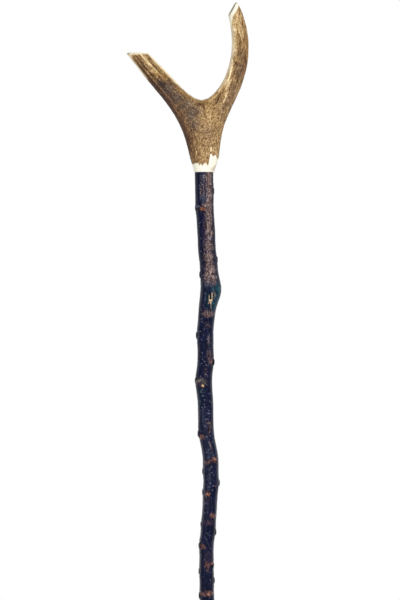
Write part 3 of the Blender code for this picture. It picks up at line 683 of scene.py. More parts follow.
# %% Keep everything for the material
store(antler_mesh, "tone", tone + 0.56 * (relief - MIDDLE_RELIEF) * (1 - 0.35 * np.clip(left_shade, 0, 1)))
# The left flank's dark stain and painted shade, kept for the material.
store(antler_mesh, "shade", np.clip(left_shade, 0, 1) * step(height, 5, 13))
store(antler_mesh, "warm", np.clip(arm_rim + 0.8 * tine_rim + 0.5 * low_rim, 0, 1))
ready = {
    "grey": grey, "russet": russet, "gold": gold, "ivory": ivory, "ivory_shade": ivory_shade,
    "core": core, "cut": bare,
}
for name, values in ready.items():
    store(antler_mesh, name, values)
store(antler_mesh, "grain", arm_grain * (1 - on_tine)[:, None] + tine_grain * on_tine[:, None])
print("antler attributes:", len(antler_mesh.attributes))

# %% [markdown]
# ## The finish of the antler
# Tone and relief together pick the colour: umber in the valleys, tan on the slopes, cream on the crests. The
# stains are laid over it as thin colours, then the dark flank, which is a stain with painted shade towards
# the outline, then the ivory places. A fine noise along the grain breaks all of it up below the size of the
# mesh's squares. Rubbed crests are smoother than the valleys, and the core is quite matt.

# %% The antler's stains and its painted shade: the share that each one covers, then its colours from valley to crest
ANTLER_STAINS = {
    "grey": (
        0.92, (0.0, (48, 36, 32)), (0.40, (104, 86, 72)), (0.70, (154, 137, 117)), (1.0, (202, 186, 162)),
    ),
    "russet": (
        0.70, (0.0, (52, 28, 20)), (0.40, (112, 74, 52)), (0.70, (166, 122, 90)), (1.0, (222, 186, 148)),
    ),
    "gold": (
        0.65, (0.0, (66, 44, 14)), (0.40, (138, 102, 48)), (0.70, (190, 156, 92)), (1.0, (240, 218, 162)),
    ),
    # shade: the left flank's dark stain, with painted shade towards the outline
    "shade": (
        0.82, (0.0, (26, 14, 10)), (0.45, (60, 37, 27)), (0.75, (98, 70, 54)), (1.0, (150, 124, 102)),
    ),
}
print("stains laid over the antler:", ", ".join(ANTLER_STAINS))

# %% Antler material
def antler_finish():
    make = Finish("antler")
    grain = make.attribute("grain", vector=True)
    hair = make.noise(make.stretched(grain, (1.0, 1.0, 0.45)), 0.95, 3.0, 0.65)
    speck = make.noise(make.place(), 900.0, 2.0, 0.6)
    value = make.sum("ADD", make.attribute("tone"), make.between(hair, 0.28, 0.72, -0.22, 0.22))
    value = make.sum("ADD", value, make.between(speck, 0.3, 0.7, -0.04, 0.04))
    tint = make.ramp(
        value,
        (0.00, (56, 34, 16)),
        (0.20, (98, 68, 38)),
        (0.40, (138, 106, 66)),
        (0.58, (170, 138, 94)),
        (0.78, (206, 176, 128)),
        (1.00, (246, 228, 188)),
    )
    for name, (share, *stops) in ANTLER_STAINS.items():
        tint = make.over(make.sum("MULTIPLY", make.attribute(name), share), tint, make.ramp(value, *stops))
    bone_cloud = make.noise(make.stretched(grain, (1.0, 1.0, 0.25)), 0.35, 3.0, 0.6)
    bone = make.ramp(bone_cloud, (0.30, (234, 227, 206)), (0.55, (246, 242, 226)), (0.80, (252, 250, 240)))
    cream = make.ramp(bone_cloud, (0.30, (228, 200, 150)), (0.55, (244, 224, 178)), (0.80, (250, 236, 200)))
    bone = make.over(make.attribute("warm"), bone, cream)
    # Painted shade over the ivory: grey-brown at the foot's lower right and along the arm's outline.
    bone = make.over(make.sum("MULTIPLY", make.attribute("ivory_shade"), 0.8), bone, colour(196, 180, 158))
    tint = make.over(make.attribute("ivory"), tint, bone)
    sponge = make.between(make.cells(make.place(), 850.0), 0.15, 0.55)
    spongy = make.ramp(sponge, (0.0, (70, 60, 54)), (0.5, (122, 110, 98)), (1.0, (178, 166, 146)))
    tint = make.over(make.attribute("core"), tint, spongy)
    rubbed = make.between(value, 0.1, 0.9, 0.62, 0.42)
    evened = make.sum("MULTIPLY", make.attribute("cut"), make.sum("SUBTRACT", 0.5, rubbed))
    height_now = make.sum("ADD", make.sum("MULTIPLY", hair, 0.7), make.sum("MULTIPLY", speck, 0.3))
    make.set(base_color=tint, roughness=make.sum("ADD", rubbed, evened))
    make.set(normal=make.bump(height_now, 0.00025, 0.5))
    make.shader.inputs["Specular IOR Level"].default_value = 0.22
    return make.material


make_piece(antler_mesh, "antler", antler_finish(), "stick", "antler", "antler_fork")

# %% [markdown]
# ## The shank's bark
# A blackthorn shank is a young stem with its bark left on, its thorns and side shoots trimmed to knobs, and
# three coats of varnish. Its form is in the solid. To lay bark over it, a long tube is cut into rings, and
# each of its points is pushed out from the shank's middle line until it meets the solid, as a sleeve is drawn
# over a rod. The rings lie closer together on the upper half, which is looked at from nearer by.

# %% The shank's middle line
SHANK_TOP = 1045.3  # millimetres above the ground
SHANK_FOOT = 42.3
TURNED_END = 14.4  # where the tenon ends, above the ground
STAVES = 108
CLOSE_REACH = 530  # how far down the close rings go
CLOSE_RINGS = np.arange(0, CLOSE_REACH, 0.92)
ring_drops = np.concatenate([CLOSE_RINGS, np.linspace(CLOSE_REACH, SHANK_TOP - SHANK_FOOT, 320)])
RINGS = len(ring_drops) - 1
turns = np.arange(STAVES) * 2 * math.pi / STAVES
RAY_START = 30  # millimetres out from the middle line, outside every knot
SLICE = 6.0  # height of the slices whose points give a first middle line
shank_tree = BVHTree.FromBMesh(merged_copy("blackthorn_shank"))


def outer_wall(middle_x, middle_y, bearings):
    """Distance from the middle line to the bark, for every ring and bearing."""
    found = np.empty((len(ring_drops), len(bearings)))
    for i, drop in enumerate(ring_drops):
        level = SHANK_TOP - min(max(drop, 0.2), ring_drops[-1] - 0.2)
        for j, turn in enumerate(bearings):
            way = Vector((math.cos(turn), math.sin(turn), 0))
            start = Vector((middle_x[i], middle_y[i], level)) / 1000 + way * (RAY_START / 1000)
            hit = shank_tree.ray_cast(start, -way)[3]
            found[i, j] = RAY_START - hit * 1000
    return found


def blurred(values, reach, axis, wrap=False):
    """Averages along one axis with a soft kernel."""
    span = np.arange(-3 * reach, 3 * reach + 1)
    weight = np.exp(-((span / reach) ** 2))
    weight = weight / weight.sum()
    padding = [(0, 0)] * values.ndim
    padding[axis] = (3 * reach, 3 * reach)
    padded = np.pad(values, padding, mode="wrap" if wrap else "edge")
    return np.apply_along_axis(lambda row: np.convolve(row, weight, "valid"), axis, padded)


solid = points_of(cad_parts["blackthorn_shank"].data)
levels = np.round((SHANK_TOP - solid[:, 2]) / SLICE).astype(int)
found_levels = np.unique(levels)
middles = np.array([solid[levels == level].mean(0) for level in found_levels])
middle_x = blurred(np.interp(ring_drops, SLICE * found_levels, middles[:, 0]), 12, 0)
middle_y = blurred(np.interp(ring_drops, SLICE * found_levels, middles[:, 1]), 12, 0)
eight = np.arange(8) * math.pi / 4
rough_wall = outer_wall(middle_x, middle_y, eight)
middle_x = middle_x + blurred(2 * (rough_wall * np.cos(eight)).mean(1), 14, 0)
middle_y = middle_y + blurred(2 * (rough_wall * np.sin(eight)).mean(1), 14, 0)
wall = outer_wall(middle_x, middle_y, turns)
wall = blurred(blurred(wall, 2, 1, wrap=True), 1, 0)
print(RINGS, "rings; bark radius:", round(float(wall.min()), 2), "to", round(float(wall.max()), 2), "mm")

# %% [markdown]
# ## Knots
# The trimmed shoots are where the stick's character is. Each knot is listed with its drop below the joint,
# its bearing (0 is the right, 90 the back, 180 the left, 270 the front) and how far it stands out. Bark
# swells round a knot in wrinkles, and the cut face shows rust-coloured wood.

# %% Knots: drop, bearing, stand in millimetres
KNOTS = [
    (22.4, 356, 1.0), (43.4, 252, 0.8), (42.4, 188, 0.8), (104.4, 2, 1.0), (122.4, 184, 1.6),
    (195.4, 182, 1.7), (227.4, 350, 1.5), (249.4, 196, 1.2), (255.4, 258, 0.9), (313.4, 194, 1.9),
    (344.4, 318, 1.3), (347.4, 252, 0.7), (358.4, 180, 1.3), (372.4, 4, 1.8), (383.4, 180, 1.2),
    (386.4, 250, 1.1), (412.4, 312, 1.0), (422.4, 182, 0.9), (431.4, 2, 1.5), (447.4, 200, 1.3),
    (470.4, 332, 1.0), (478.4, 178, 1.0), (489.4, 1, 1.2), (505.4, 290, 1.4), (507.4, 184, 1.6),
]
BACK_BEARINGS = (40, 95, 50, 105, 60, 115, 70, 125, 80)
STANDS = (1.8, 1.2, 2.1, 1.5)
for i, knot_bearing in enumerate(BACK_BEARINGS):  # made up, on the back of the part in view
    KNOTS.append((73.4 + 50 * i, knot_bearing, STANDS[i % 4]))
for i in range(17):  # made up, all round the part below the photo
    KNOTS.append((528.4 + 28.5 * i, (60 + 144 * i) % 360, STANDS[i % 4]))
print(len(KNOTS), "knots")

# %% Where each point of the bark is
grid_drop = np.repeat(ring_drops[:, None], STAVES, 1)
grid_turn = np.repeat(turns[None], RINGS + 1, 0)
grid_place = np.stack([
    middle_x[:, None] + wall * np.cos(grid_turn),
    middle_y[:, None] + wall * np.sin(grid_turn),
    SHANK_TOP - grid_drop,
], 2).reshape(-1, 3)
stem_place = np.stack([wall * np.cos(grid_turn), wall * np.sin(grid_turn), grid_drop], 2).reshape(-1, 3)
bark_view = View(grid_place, step(np.sin(grid_turn), 0.12, -0.12).ravel())
front_bark = bark_view.front.reshape(grid_drop.shape)


def on_grid(values):
    return values.reshape(grid_drop.shape)


def from_knot(drop, bearing_degrees, reach_down, reach_round):
    """Distance to a place on the bark, as a share of two reaches in millimetres."""
    across = (grid_turn - math.radians(bearing_degrees) + math.pi) % (2 * math.pi) - math.pi
    return np.hypot((grid_drop - drop) / reach_down, across * wall / reach_round)


fissures = on_grid(worms(stem_place, (2.2, 2.2, 14.0), 2.4, 14.0))
lumps = on_grid(noise_at(stem_place, (6.0, 6.0, 14.0), 51.0))
crinkle = on_grid(noise_at(stem_place, (1.6, 1.6, 2.6), 81.0))
scales = on_grid(worms(stem_place, (2.0, 2.0, 2.8), 2.4, 66.0))
print("points of the bark that face us:", int((front_bark > 0.5).sum()))

# %% Wrinkles round the knots, and their cut faces
swirl = np.zeros_like(grid_drop)
knot_rust = np.zeros_like(grid_drop)
knot_rim = np.zeros_like(grid_drop)
for drop, knot_bearing, stand in KNOTS:
    reach = 2.6 + 0.9 * stand
    far = from_knot(drop, knot_bearing, reach * 1.25, reach)
    swirl += 0.13 * np.cos(far * 7.5) * np.exp(-((far - 0.9) ** 2) / 0.9) * (far > 0.75)
    knot_rust = np.maximum(knot_rust, step(far + 0.30 * crinkle, 1.15, 0.45) * min(1.0, 0.25 + 0.4 * stand))
    knot_rim = np.maximum(knot_rim, np.exp(-(((far - 0.95) / 0.18) ** 2)))
edge_on = np.abs(np.sin(grid_turn))
knot_rust = knot_rust * (0.35 + 0.65 * step(np.sin(grid_turn), -0.2, 0.5)) * step(edge_on, 0.15, 0.5)
print("knot faces cover", round(float((knot_rust > 0.5).mean()) * 100, 1), "% of the bark")

# %% [markdown]
# ## Marks on the bark
# Between the knots the photo shows plum-brown down the right half of the upper shank, a bloom on the bark
# that is in part painted light falling from the right; a teal sheen round a forked cream scar, patches where
# the bark is rubbed through to rust and orange, and pale specks. Bluish slate streaks are a painted
# reflection, and the near-black right edge is painted shade. Each list below is one colour. Specks are all
# alike, so each is only its pixel and its strength.

# %% Marks read off the photo
# Plum-brown: bark bloom, and in part painted light down the right half of the upper shank.
BLOOM_AND_LIGHT = (
    (2.5, 1.2, (208.2, 160.0), (208.4, 196.0), (208.4, 216.0), (208.8, 262.0)),
    (205.0, 214, 2.6, 6, 0.40), (206.6, 226, 3.6, 9, 0.60),
    (2.0, 0.8, (210.2, 170.0), (210.4, 206.0), (211.0, 262.0)),
    (210.4, 233, 2.8, 3.4, 1.1), (208.4, 246, 4.4, 9, 0.85), (208.4, 258, 5.2, 7, 0.9),
    (210.5, 269, 5.6, 7, 1.0), (208.8, 278, 4.8, 7, 1.0), (213.8, 280, 3.6, 6, 1.0),
    (208.0, 313.6, 5.6, 3.6, 1.0), (207.6, 325, 3.6, 4, 0.40), (208.8, 340, 2.2, 7, 0.50),
    (208.8, 354, 2.4, 6, 0.55),
    (1.6, 0.5, (203.6, 176.0), (203.4, 190.0), (203.2, 206.0)),
    (204.8, 205.6, 3.6, 2.6, 0.95),
    (1.4, 0.5, (200.6, 176.0), (201.0, 190.0), (200.6, 204.0)),
    (210.4, 361.0, 1.6, 4.0, 0.7),
    (
        1.1, 0.62, (206.4, 422.6), (209.4, 422.4), (210.4, 424.0), (210.2, 428.0), (208.8, 432.0),
        (208.6, 438.0),
    ),
    (1.0, 0.60, (209.0, 441.6), (210.2, 442.4), (210.6, 446.0), (211.8, 449.6), (213.0, 453.0)),
    (205.0, 374.0, 1.4, 2.0, 0.5),
)
# Painted reflection: bluish streaks of the bright room on the varnish.
SLATE_REFLECTION = (
    (201.8, 178, 1.5, 8, 0.45), (202.6, 198.6, 2.2, 3.6, 0.75), (210.2, 238.4, 1.6, 1.6, 0.8),
    (208.0, 284.0, 3.4, 3.4, 0.55),
    (
        3.0, 0.20, (203.0, 410.0), (205.4, 432.0), (208.4, 452.0), (209.4, 476.0), (207.4, 496.0),
        (206.4, 524.0),
    ),
    (1.6, 0.22, (209.0, 336.0), (209.6, 352.0)),
    (0.7, 0.45, (205.4, 292.0), (205.2, 304.0)),
    (207.4, 197, 1.0, 6, 0.35),
    (0.6, 0.5, (208.4, 276.0), (208.6, 290.0)),
)
TEAL = (
    (217.6, 289, 3.4, 7, 0.95), (218.8, 300, 3.4, 8, 1.0), (214.6, 305, 3.4, 5, 0.95),
    (213.0, 289, 2.6, 2.4, 0.7), (208.0, 301, 1.8, 8, 0.5), (215.4, 296, 2.2, 6, 0.9),
    (202.0, 390, 3.0, 4, 0.25), (200.4, 400, 1.2, 10, 0.2),
)
# Painted shade down the shank's right edge, with dark spots beside the knots and the scar's dark hole.
SHADE = (
    (0.45, 0.8, (211.8, 168.0), (211.5, 190.0), (211.8, 206.0), (212.2, 236.0)),
    (212.8, 222, 0.9, 5, 0.5), (214.0, 244, 0.9, 5, 0.4), (198.4, 209.4, 1.9, 1.1, 1.0),
    (202.4, 212.6, 2.6, 0.7, 0.6), (206.9, 191.9, 0.7, 0.7, 0.9), (210.6, 298.6, 0.75, 0.6, 1.4),
    (210.6, 295.4, 0.6, 2.2, 0.9), (205.0, 320.4, 3.4, 0.8, 0.7), (199.0, 387.6, 2.4, 0.8, 0.6),
    (203.8, 492.5, 1.0, 3.0, 0.8), (210.6, 461.2, 1.0, 1.4, 0.6), (211.6, 356.5, 1.4, 1.2, 0.6),
    (201.0, 433.4, 2.6, 0.7, 0.5), (213.8, 529.5, 2.0, 4.0, 0.7),
)
MAROON = (
    (208.6, 522.4, 4.4, 2.4, 0.9),
    # This maroon line is painted shade, beside the dark right edge.
    (1.0, 0.6, (210.6, 206.0), (210.8, 222.0)),
    (204.6, 236, 1.6, 20, 0.35), (206.0, 311, 4.0, 2.2, 0.4), (207.0, 502, 4.0, 6.0, 0.25),
    (208.0, 556, 4.0, 6.0, 0.30), (212.5, 585, 2.0, 4.0, 0.25), (209.4, 358.0, 2.2, 5.0, 0.6),
    (205.8, 371.0, 1.6, 5.0, 0.3), (198.6, 383.0, 2.0, 2.4, 0.6), (209.0, 425.0, 2.4, 6.0, 0.35),
)
RUST = (
    (205.4, 313.6, 2.6, 1.8, 0.5), (209.8, 314.6, 2.8, 1.8, 0.55), (207.0, 316.6, 3.0, 1.4, 0.5),
    (201.2, 436.6, 3.6, 2.7, 1.0), (213.9, 459.2, 2.5, 2.9, 1.25), (207.3, 462.3, 2.4, 1.8, 1.15),
    (210.9, 459.6, 1.9, 1.8, 1.2), (207.8, 493.4, 2.7, 3.6, 0.9), (212.6, 515.2, 3.2, 3.0, 0.95),
    (202.4, 546.4, 2.8, 2.8, 1.1), (207.6, 564.6, 3.6, 3.6, 0.95), (207.6, 569.4, 1.2, 2.4, 0.7),
    (211.6, 563.6, 2.2, 2.2, 0.8), (206.4, 593.0, 5.8, 2.6, 1.5), (210.6, 592.2, 2.0, 2.4, 1.2),
    (211.4, 361.6, 1.8, 3.0, 0.8), (202.8, 209.4, 3.2, 2.3, 1.4), (215.4, 485.6, 1.4, 1.8, 0.6),
    (204.0, 366.4, 0.7, 0.7, 0.6), (205.2, 371.4, 0.7, 0.7, 0.6), (206.4, 377.6, 0.8, 0.8, 0.5),
)
OLIVE = (
    (1.8, 0.95, (195.4, 383.0), (198.6, 380.4), (202.0, 379.8), (206.4, 382.4), (206.8, 383.0)),
    (203.6, 382.6, 3.0, 1.6, 0.8), (212.4, 249.0, 1.4, 2.4, 0.45), (214.2, 294.6, 1.4, 3.4, 1.1),
)
ORANGE = (
    (202.6, 209.4, 3.0, 2.1, 1.15), (207.7, 315.4, 0.9, 0.9, 0.8), (202.7, 385.4, 1.7, 1.6, 1.4),
    (208.0, 493.4, 2.0, 2.9, 0.8), (203.8, 547.6, 1.3, 1.2, 0.9), (212.8, 562.6, 0.9, 1.2, 0.9),
    (208.6, 565.0, 0.8, 0.8, 0.6), (210.2, 592.8, 1.4, 1.8, 0.9), (207.4, 593.8, 1.8, 0.9, 0.9),
    (214.4, 458.6, 1.6, 1.9, 0.8), (206.2, 463.0, 1.4, 0.9, 0.45), (212.8, 515.0, 1.4, 1.2, 0.45),
    (201.4, 436.0, 1.6, 1.2, 0.35), (200.6, 544.6, 0.8, 1.0, 0.7), (208.6, 302.8, 0.7, 2.6, 0.8),
)
CREAM = (
    (0.40, 0.95, (209.4, 302.0), (209.1, 297.0), (209.0, 292.5)),
    (0.55, 1.0, (211.9, 301.0), (211.9, 296.0), (212.0, 290.0)),
    (210.5, 299.6, 2.2, 1.9, 1.0), (210.7, 302.4, 1.3, 2.4, 0.8),
    (0.50, 0.7, (210.8, 303.4), (211.0, 306.0), (211.1, 311.0)),
    (202.8, 385.3, 1.4, 1.2, 1.1), (208.6, 492.4, 0.8, 1.0, 0.40), (210.2, 593.2, 0.7, 0.8, 0.35),
)
SCRATCHES = (
    (0.35, 0.25, (205.6, 532.0), (209.0, 534.6), (213.0, 536.6)),
    (0.35, 0.15, (204.6, 535.0), (207.0, 541.4), (210.6, 549.0)),
    (0.35, 0.25, (205.0, 569.8), (208.0, 571.6), (212.2, 572.6)),
    (0.9, 0.5, (196.0, 206.4), (197.4, 206.4), (200.4, 206.8)),
)
SPECKS = (
    (207.0, 189.4, 1.0), (199.4, 185.4, 0.5), (199.5, 223.4, 0.8), (199.5, 226.5, 0.6), (200.9, 238.5, 0.9),
    (203.5, 242.6, 0.8), (201.1, 251.5, 0.9), (202.7, 266.4, 0.7), (203.4, 275.3, 0.9), (203.3, 305.4, 0.8),
    (201.2, 309.2, 0.6), (201.9, 318.7, 1.3), (202.1, 321.7, 1.3), (204.3, 329.1, 0.9), (200.3, 331.3, 1.0),
    (203.6, 335.2, 0.6), (198.7, 336.4, 0.8), (201.5, 339.4, 1.0), (202.3, 353.0, 1.1), (202.7, 359.2, 1.0),
    (204.6, 361.4, 1.2), (201.6, 363.4, 0.8), (206.4, 365.0, 1.2), (208.6, 364.6, 0.7), (205.6, 369.0, 0.8),
    (205.9, 374.2, 1.1), (207.4, 376.0, 0.8), (200.8, 376.2, 0.8), (202.2, 389.2, 1.1), (201.0, 391.6, 1.4),
    (202.6, 395.4, 1.2), (203.6, 395.4, 1.0), (209.6, 393.4, 0.9), (204.8, 399.6, 1.0), (209.6, 401.2, 1.1),
    (200.2, 401.2, 0.8), (211.4, 402.4, 1.0), (204.1, 404.0, 1.0), (204.8, 406.4, 0.9), (202.4, 407.1, 0.9),
    (208.9, 410.2, 1.2), (208.2, 413.0, 1.3), (209.6, 413.4, 1.2), (206.4, 418.6, 0.8), (208.0, 419.2, 0.9),
    (205.0, 425.4, 1.0), (206.6, 436.4, 1.4), (210.2, 435.4, 0.7), (212.4, 441.4, 0.9), (208.7, 449.4, 1.4),
    (206.4, 452.0, 0.9), (212.0, 452.8, 1.0), (213.2, 454.8, 0.8), (211.4, 466.4, 1.1), (210.2, 468.0, 0.9),
    (209.2, 469.6, 1.0), (211.8, 472.2, 0.9), (213.6, 474.6, 0.6), (209.8, 477.4, 0.9), (210.4, 483.0, 1.1),
    (213.3, 485.4, 1.2), (209.4, 486.5, 1.1), (212.4, 490.1, 1.1), (207.6, 479.6, 0.5), (204.9, 512.6, 0.6),
    (207.8, 512.0, 0.6), (210.5, 548.0, 0.6), (207.0, 539.0, 0.5), (210.5, 579.5, 1.0), (209.6, 597.0, 0.8),
    (204.6, 559.0, 0.5), (206.0, 503.0, 0.4),
)
painted = {
    "bloom_and_light": BLOOM_AND_LIGHT, "slate_reflection": SLATE_REFLECTION, "teal": TEAL, "shade": SHADE, "maroon": MAROON,
    "rust": RUST, "olive": OLIVE, "orange": ORANGE, "cream": CREAM,
}
marks = {name: on_grid(bark_view.strongest(listed)) for name, listed in painted.items()}
pale = list(SCRATCHES) + [(column, row, 0.50, 0.42, strength) for column, row, strength in SPECKS]
marks["pale"] = on_grid(bark_view.strongest(pale))
marks["cream"] = marks["cream"] - on_grid(bark_view.dab(210.6, 298.5, 0.9, 0.8, 1.2))  # the scar's dark hole
print("marks painted:", sum(map(len, painted.values())) + len(pale))

# %% Bloom and rust on the sides that the photo doesn't show
PHOTO_EDGE = (512, 520)  # drops below the joint, in millimetres, between which the photo ends
unseen = 1 - front_bark
wide_cloud = on_grid(noise_at(stem_place, (16.0, 16.0, 55.0), 7.7))
marks["bloom_and_light"] = np.maximum(marks["bloom_and_light"], unseen * step(wide_cloud, 0.0, 0.40) * 0.62)
marks["maroon"] = np.maximum(marks["maroon"], unseen * step(-wide_cloud, 0.15, 0.45) * 0.5)
marks["rust"] = np.maximum(marks["rust"], knot_rust * (0.9 * unseen + 0.1))
below_photo = step(grid_drop, *PHOTO_EDGE)
marks["rust"] = np.maximum(marks["rust"], knot_rust * below_photo)
made_up = np.maximum(unseen, below_photo)
marks["orange"] = np.maximum(marks["orange"], step(knot_rust, 0.75, 1.0) * 0.8 * made_up)
marks["shade"] = np.maximum(marks["shade"], 0.55 * knot_rim)
print("rust covers", round(float((marks["rust"] > 0.5).mean()) * 100, 1), "% of the bark")

# %% [markdown]
# ## The tube
# A cone operator with two equal radii gives the tube, and its long edges are cut into rings. Each point then
# goes to its place: fissures and scales of a tenth of a millimetre or two, wrinkles round the knots, and the
# marks that have some depth of their own.

# %% Cut the tube into rings and draw it over the solid
def bark_tube(length):
    bm = bmesh.new()
    bmesh.ops.create_cone(bm, segments=STAVES, radius1=0.01, radius2=0.01, depth=length, cap_ends=False)
    upright = [e for e in bm.edges if abs(e.verts[0].co.z - e.verts[1].co.z) > length / 2]
    bmesh.ops.subdivide_edges(bm, edges=upright, cuts=RINGS - 1, use_grid_fill=False)
    return bm


length = SHANK_TOP - SHANK_FOOT
relief_mm = 0.14 * (fissures - 0.5) + 0.12 * (scales - 0.5) + 0.14 * lumps + 0.08 * crinkle
relief_mm = relief_mm + swirl - 0.10 * knot_rim
relief_mm = relief_mm - 0.22 * marks["shade"] - 0.15 * (marks["cream"] > 0.5)
relief_mm = relief_mm - 0.12 * marks["orange"] + 0.10 * marks["pale"]
fade_ends = step(grid_drop, 0.0, 2.0) * step(grid_drop, length, length - 2.0)
bark_wall = wall + 0.22 * step(grid_drop, length, length - 2.0) + relief_mm * fade_ends
bark_bm = bark_tube(length / 1000)
ring_layer = bark_bm.verts.layers.float.new("ring")
stave_layer = bark_bm.verts.layers.float.new("stave")
for vert in bark_bm.verts:
    ring = round((0.5 - vert.co.z * 1000 / length) * RINGS)
    stave = round(math.atan2(vert.co.y, vert.co.x) / (2 * math.pi) * STAVES) % STAVES
    reach = bark_wall[ring, stave]
    vert[ring_layer] = ring
    vert[stave_layer] = stave
    vert.co.x = (middle_x[ring] + reach * math.cos(turns[stave])) / 1000
    vert.co.y = (middle_y[ring] + reach * math.sin(turns[stave])) / 1000
    vert.co.z = (SHANK_TOP - ring_drops[ring]) / 1000
print("bark tube:", len(bark_bm.faces), "faces")
print("relief from", round(float(relief_mm.min()), 2), "to", round(float(relief_mm.max()), 2), "mm")

# %% [markdown]
# The tube's ends are closed as a maker leaves them. The top is a flat sawn face with the hole for the stud.
# The foot has a shoulder, and below it the wood is turned down to a tenon that the rubber ferrule grips.

# %% Close the ends
def ring_at(bm, ring_number):
    found = [v for v in bm.verts if round(v[ring_layer]) == ring_number]
    return sorted(found, key=lambda v: v[stave_layer])


def grow_ring(bm, ring, middle, radius, level):
    """Extrudes a ring and puts the new one on a circle."""
    edges = [bm.edges.get((ring[i - 1], ring[i])) for i in range(len(ring))]
    extruded = bmesh.ops.extrude_edge_only(bm, edges=edges)["geom"]
    made = {v for v in extruded if isinstance(v, bmesh.types.BMVert)}
    fresh = [next(e.other_vert(v) for e in v.link_edges if e.other_vert(v) in made) for v in ring]
    for vert, turn in zip(fresh, turns):
        across, back = middle[0] + radius * math.cos(turn), middle[1] + radius * math.sin(turn)
        vert.co = Vector((across, back, level)) / 1000
        vert[ring_layer] = -1
    return fresh


STUD_HOLE, STUD_DEPTH = 4.3, 62.0  # radius and depth of the stud's hole
TENON = 7.2  # radius of the turned end
TOP_STEPS = ((9.0, SHANK_TOP), (STUD_HOLE, SHANK_TOP), (STUD_HOLE, SHANK_TOP - STUD_DEPTH))
FOOT_STEPS = (
    (TENON, SHANK_FOOT), (TENON, 38), (TENON, 30), (TENON, 22), (TENON, TURNED_END + 0.8),
    (TENON - 0.8, TURNED_END + 0.1),
)
for ring, middle, steps in (
    (ring_at(bark_bm, 0), (STEM_MIDDLE, 0), TOP_STEPS), (ring_at(bark_bm, RINGS), (0, 0), FOOT_STEPS),
):
    for radius, level in steps:
        ring = grow_ring(bark_bm, ring, middle, radius, level)
    bmesh.ops.contextual_create(bark_bm, geom=ring)
bmesh.ops.recalc_face_normals(bark_bm, faces=bark_bm.faces)
print("with its ends:", len(bark_bm.faces), "faces")

# %% Keep the bark's numbers for its material
bark_mesh = bpy.data.meshes.new("bark")
ring_of = np.array([round(v[ring_layer]) for v in bark_bm.verts])
stave_of = np.array([round(v[stave_layer]) for v in bark_bm.verts])
bark_bm.to_mesh(bark_mesh)
bark_bm.free()
for name in ("ring", "stave"):
    bark_mesh.attributes.remove(bark_mesh.attributes[name])
bark_mesh.shade_smooth()
bark_mesh.set_sharp_from_angle(angle=math.radians(50))
is_bark = ring_of >= 0


def bark_values(grid):
    return np.where(is_bark, grid[np.clip(ring_of, 0, RINGS), stave_of], 0.0)


bark_place = points_of(bark_mesh)
straight = np.stack([
    np.where(is_bark, bark_values(wall * np.cos(grid_turn)), bark_place[:, 0]),
    np.where(is_bark, bark_values(wall * np.sin(grid_turn)), bark_place[:, 1]),
    SHANK_TOP - bark_place[:, 2],
], 1)
store(bark_mesh, "stem", straight)
store(bark_mesh, "bare", 1.0 - is_bark)
store(bark_mesh, "scales", bark_values(0.5 * scales + 0.3 * fissures + 0.2 * (crinkle + 0.5)))
gloss = 0.30 + 0.18 * step(grid_drop, 110, 180) + 0.42 * step(grid_drop, 290, 340)
store(bark_mesh, "gloss", bark_values(gloss))
for name, grid in marks.items():
    store(bark_mesh, name, bark_values(np.clip(grid, 0, 1)))
print("bark attributes:", len(bark_mesh.attributes))

# %% [markdown]
# ## The finish of the bark
# Varnished blackthorn is almost black, with navy and plum in it, and brown where the bark has scaled. It is
# full of specks: pores of the bark, called lenticels, lie across the stem as pale dashes, and dust specks sit
# in the varnish. The rubbed places have ragged edges, so their share is mixed with noise before it is used.
# The varnish is a thin clear coat, which shows most where the side of the shank turns away.

# %% The bark's even colours, stains and a painted reflection (slate): the share that each covers, then its colours from crack to scale
BARK_STAINS = {
    "maroon": (0.85, (0.30, (30, 20, 30)), (0.48, (60, 42, 54)), (0.70, (106, 80, 88))),
    "slate_reflection": (0.85, (0.30, (34, 40, 58)), (0.48, (66, 74, 96)), (0.70, (128, 134, 156))),
    "teal": (1.0, (0.30, (4, 34, 50)), (0.48, (12, 56, 70)), (0.70, (54, 98, 108))),
    "olive": (0.90, (0.30, (44, 38, 38)), (0.48, (88, 79, 76)), (0.70, (136, 126, 118))),
}
print("even stains laid over the bark:", ", ".join(BARK_STAINS))

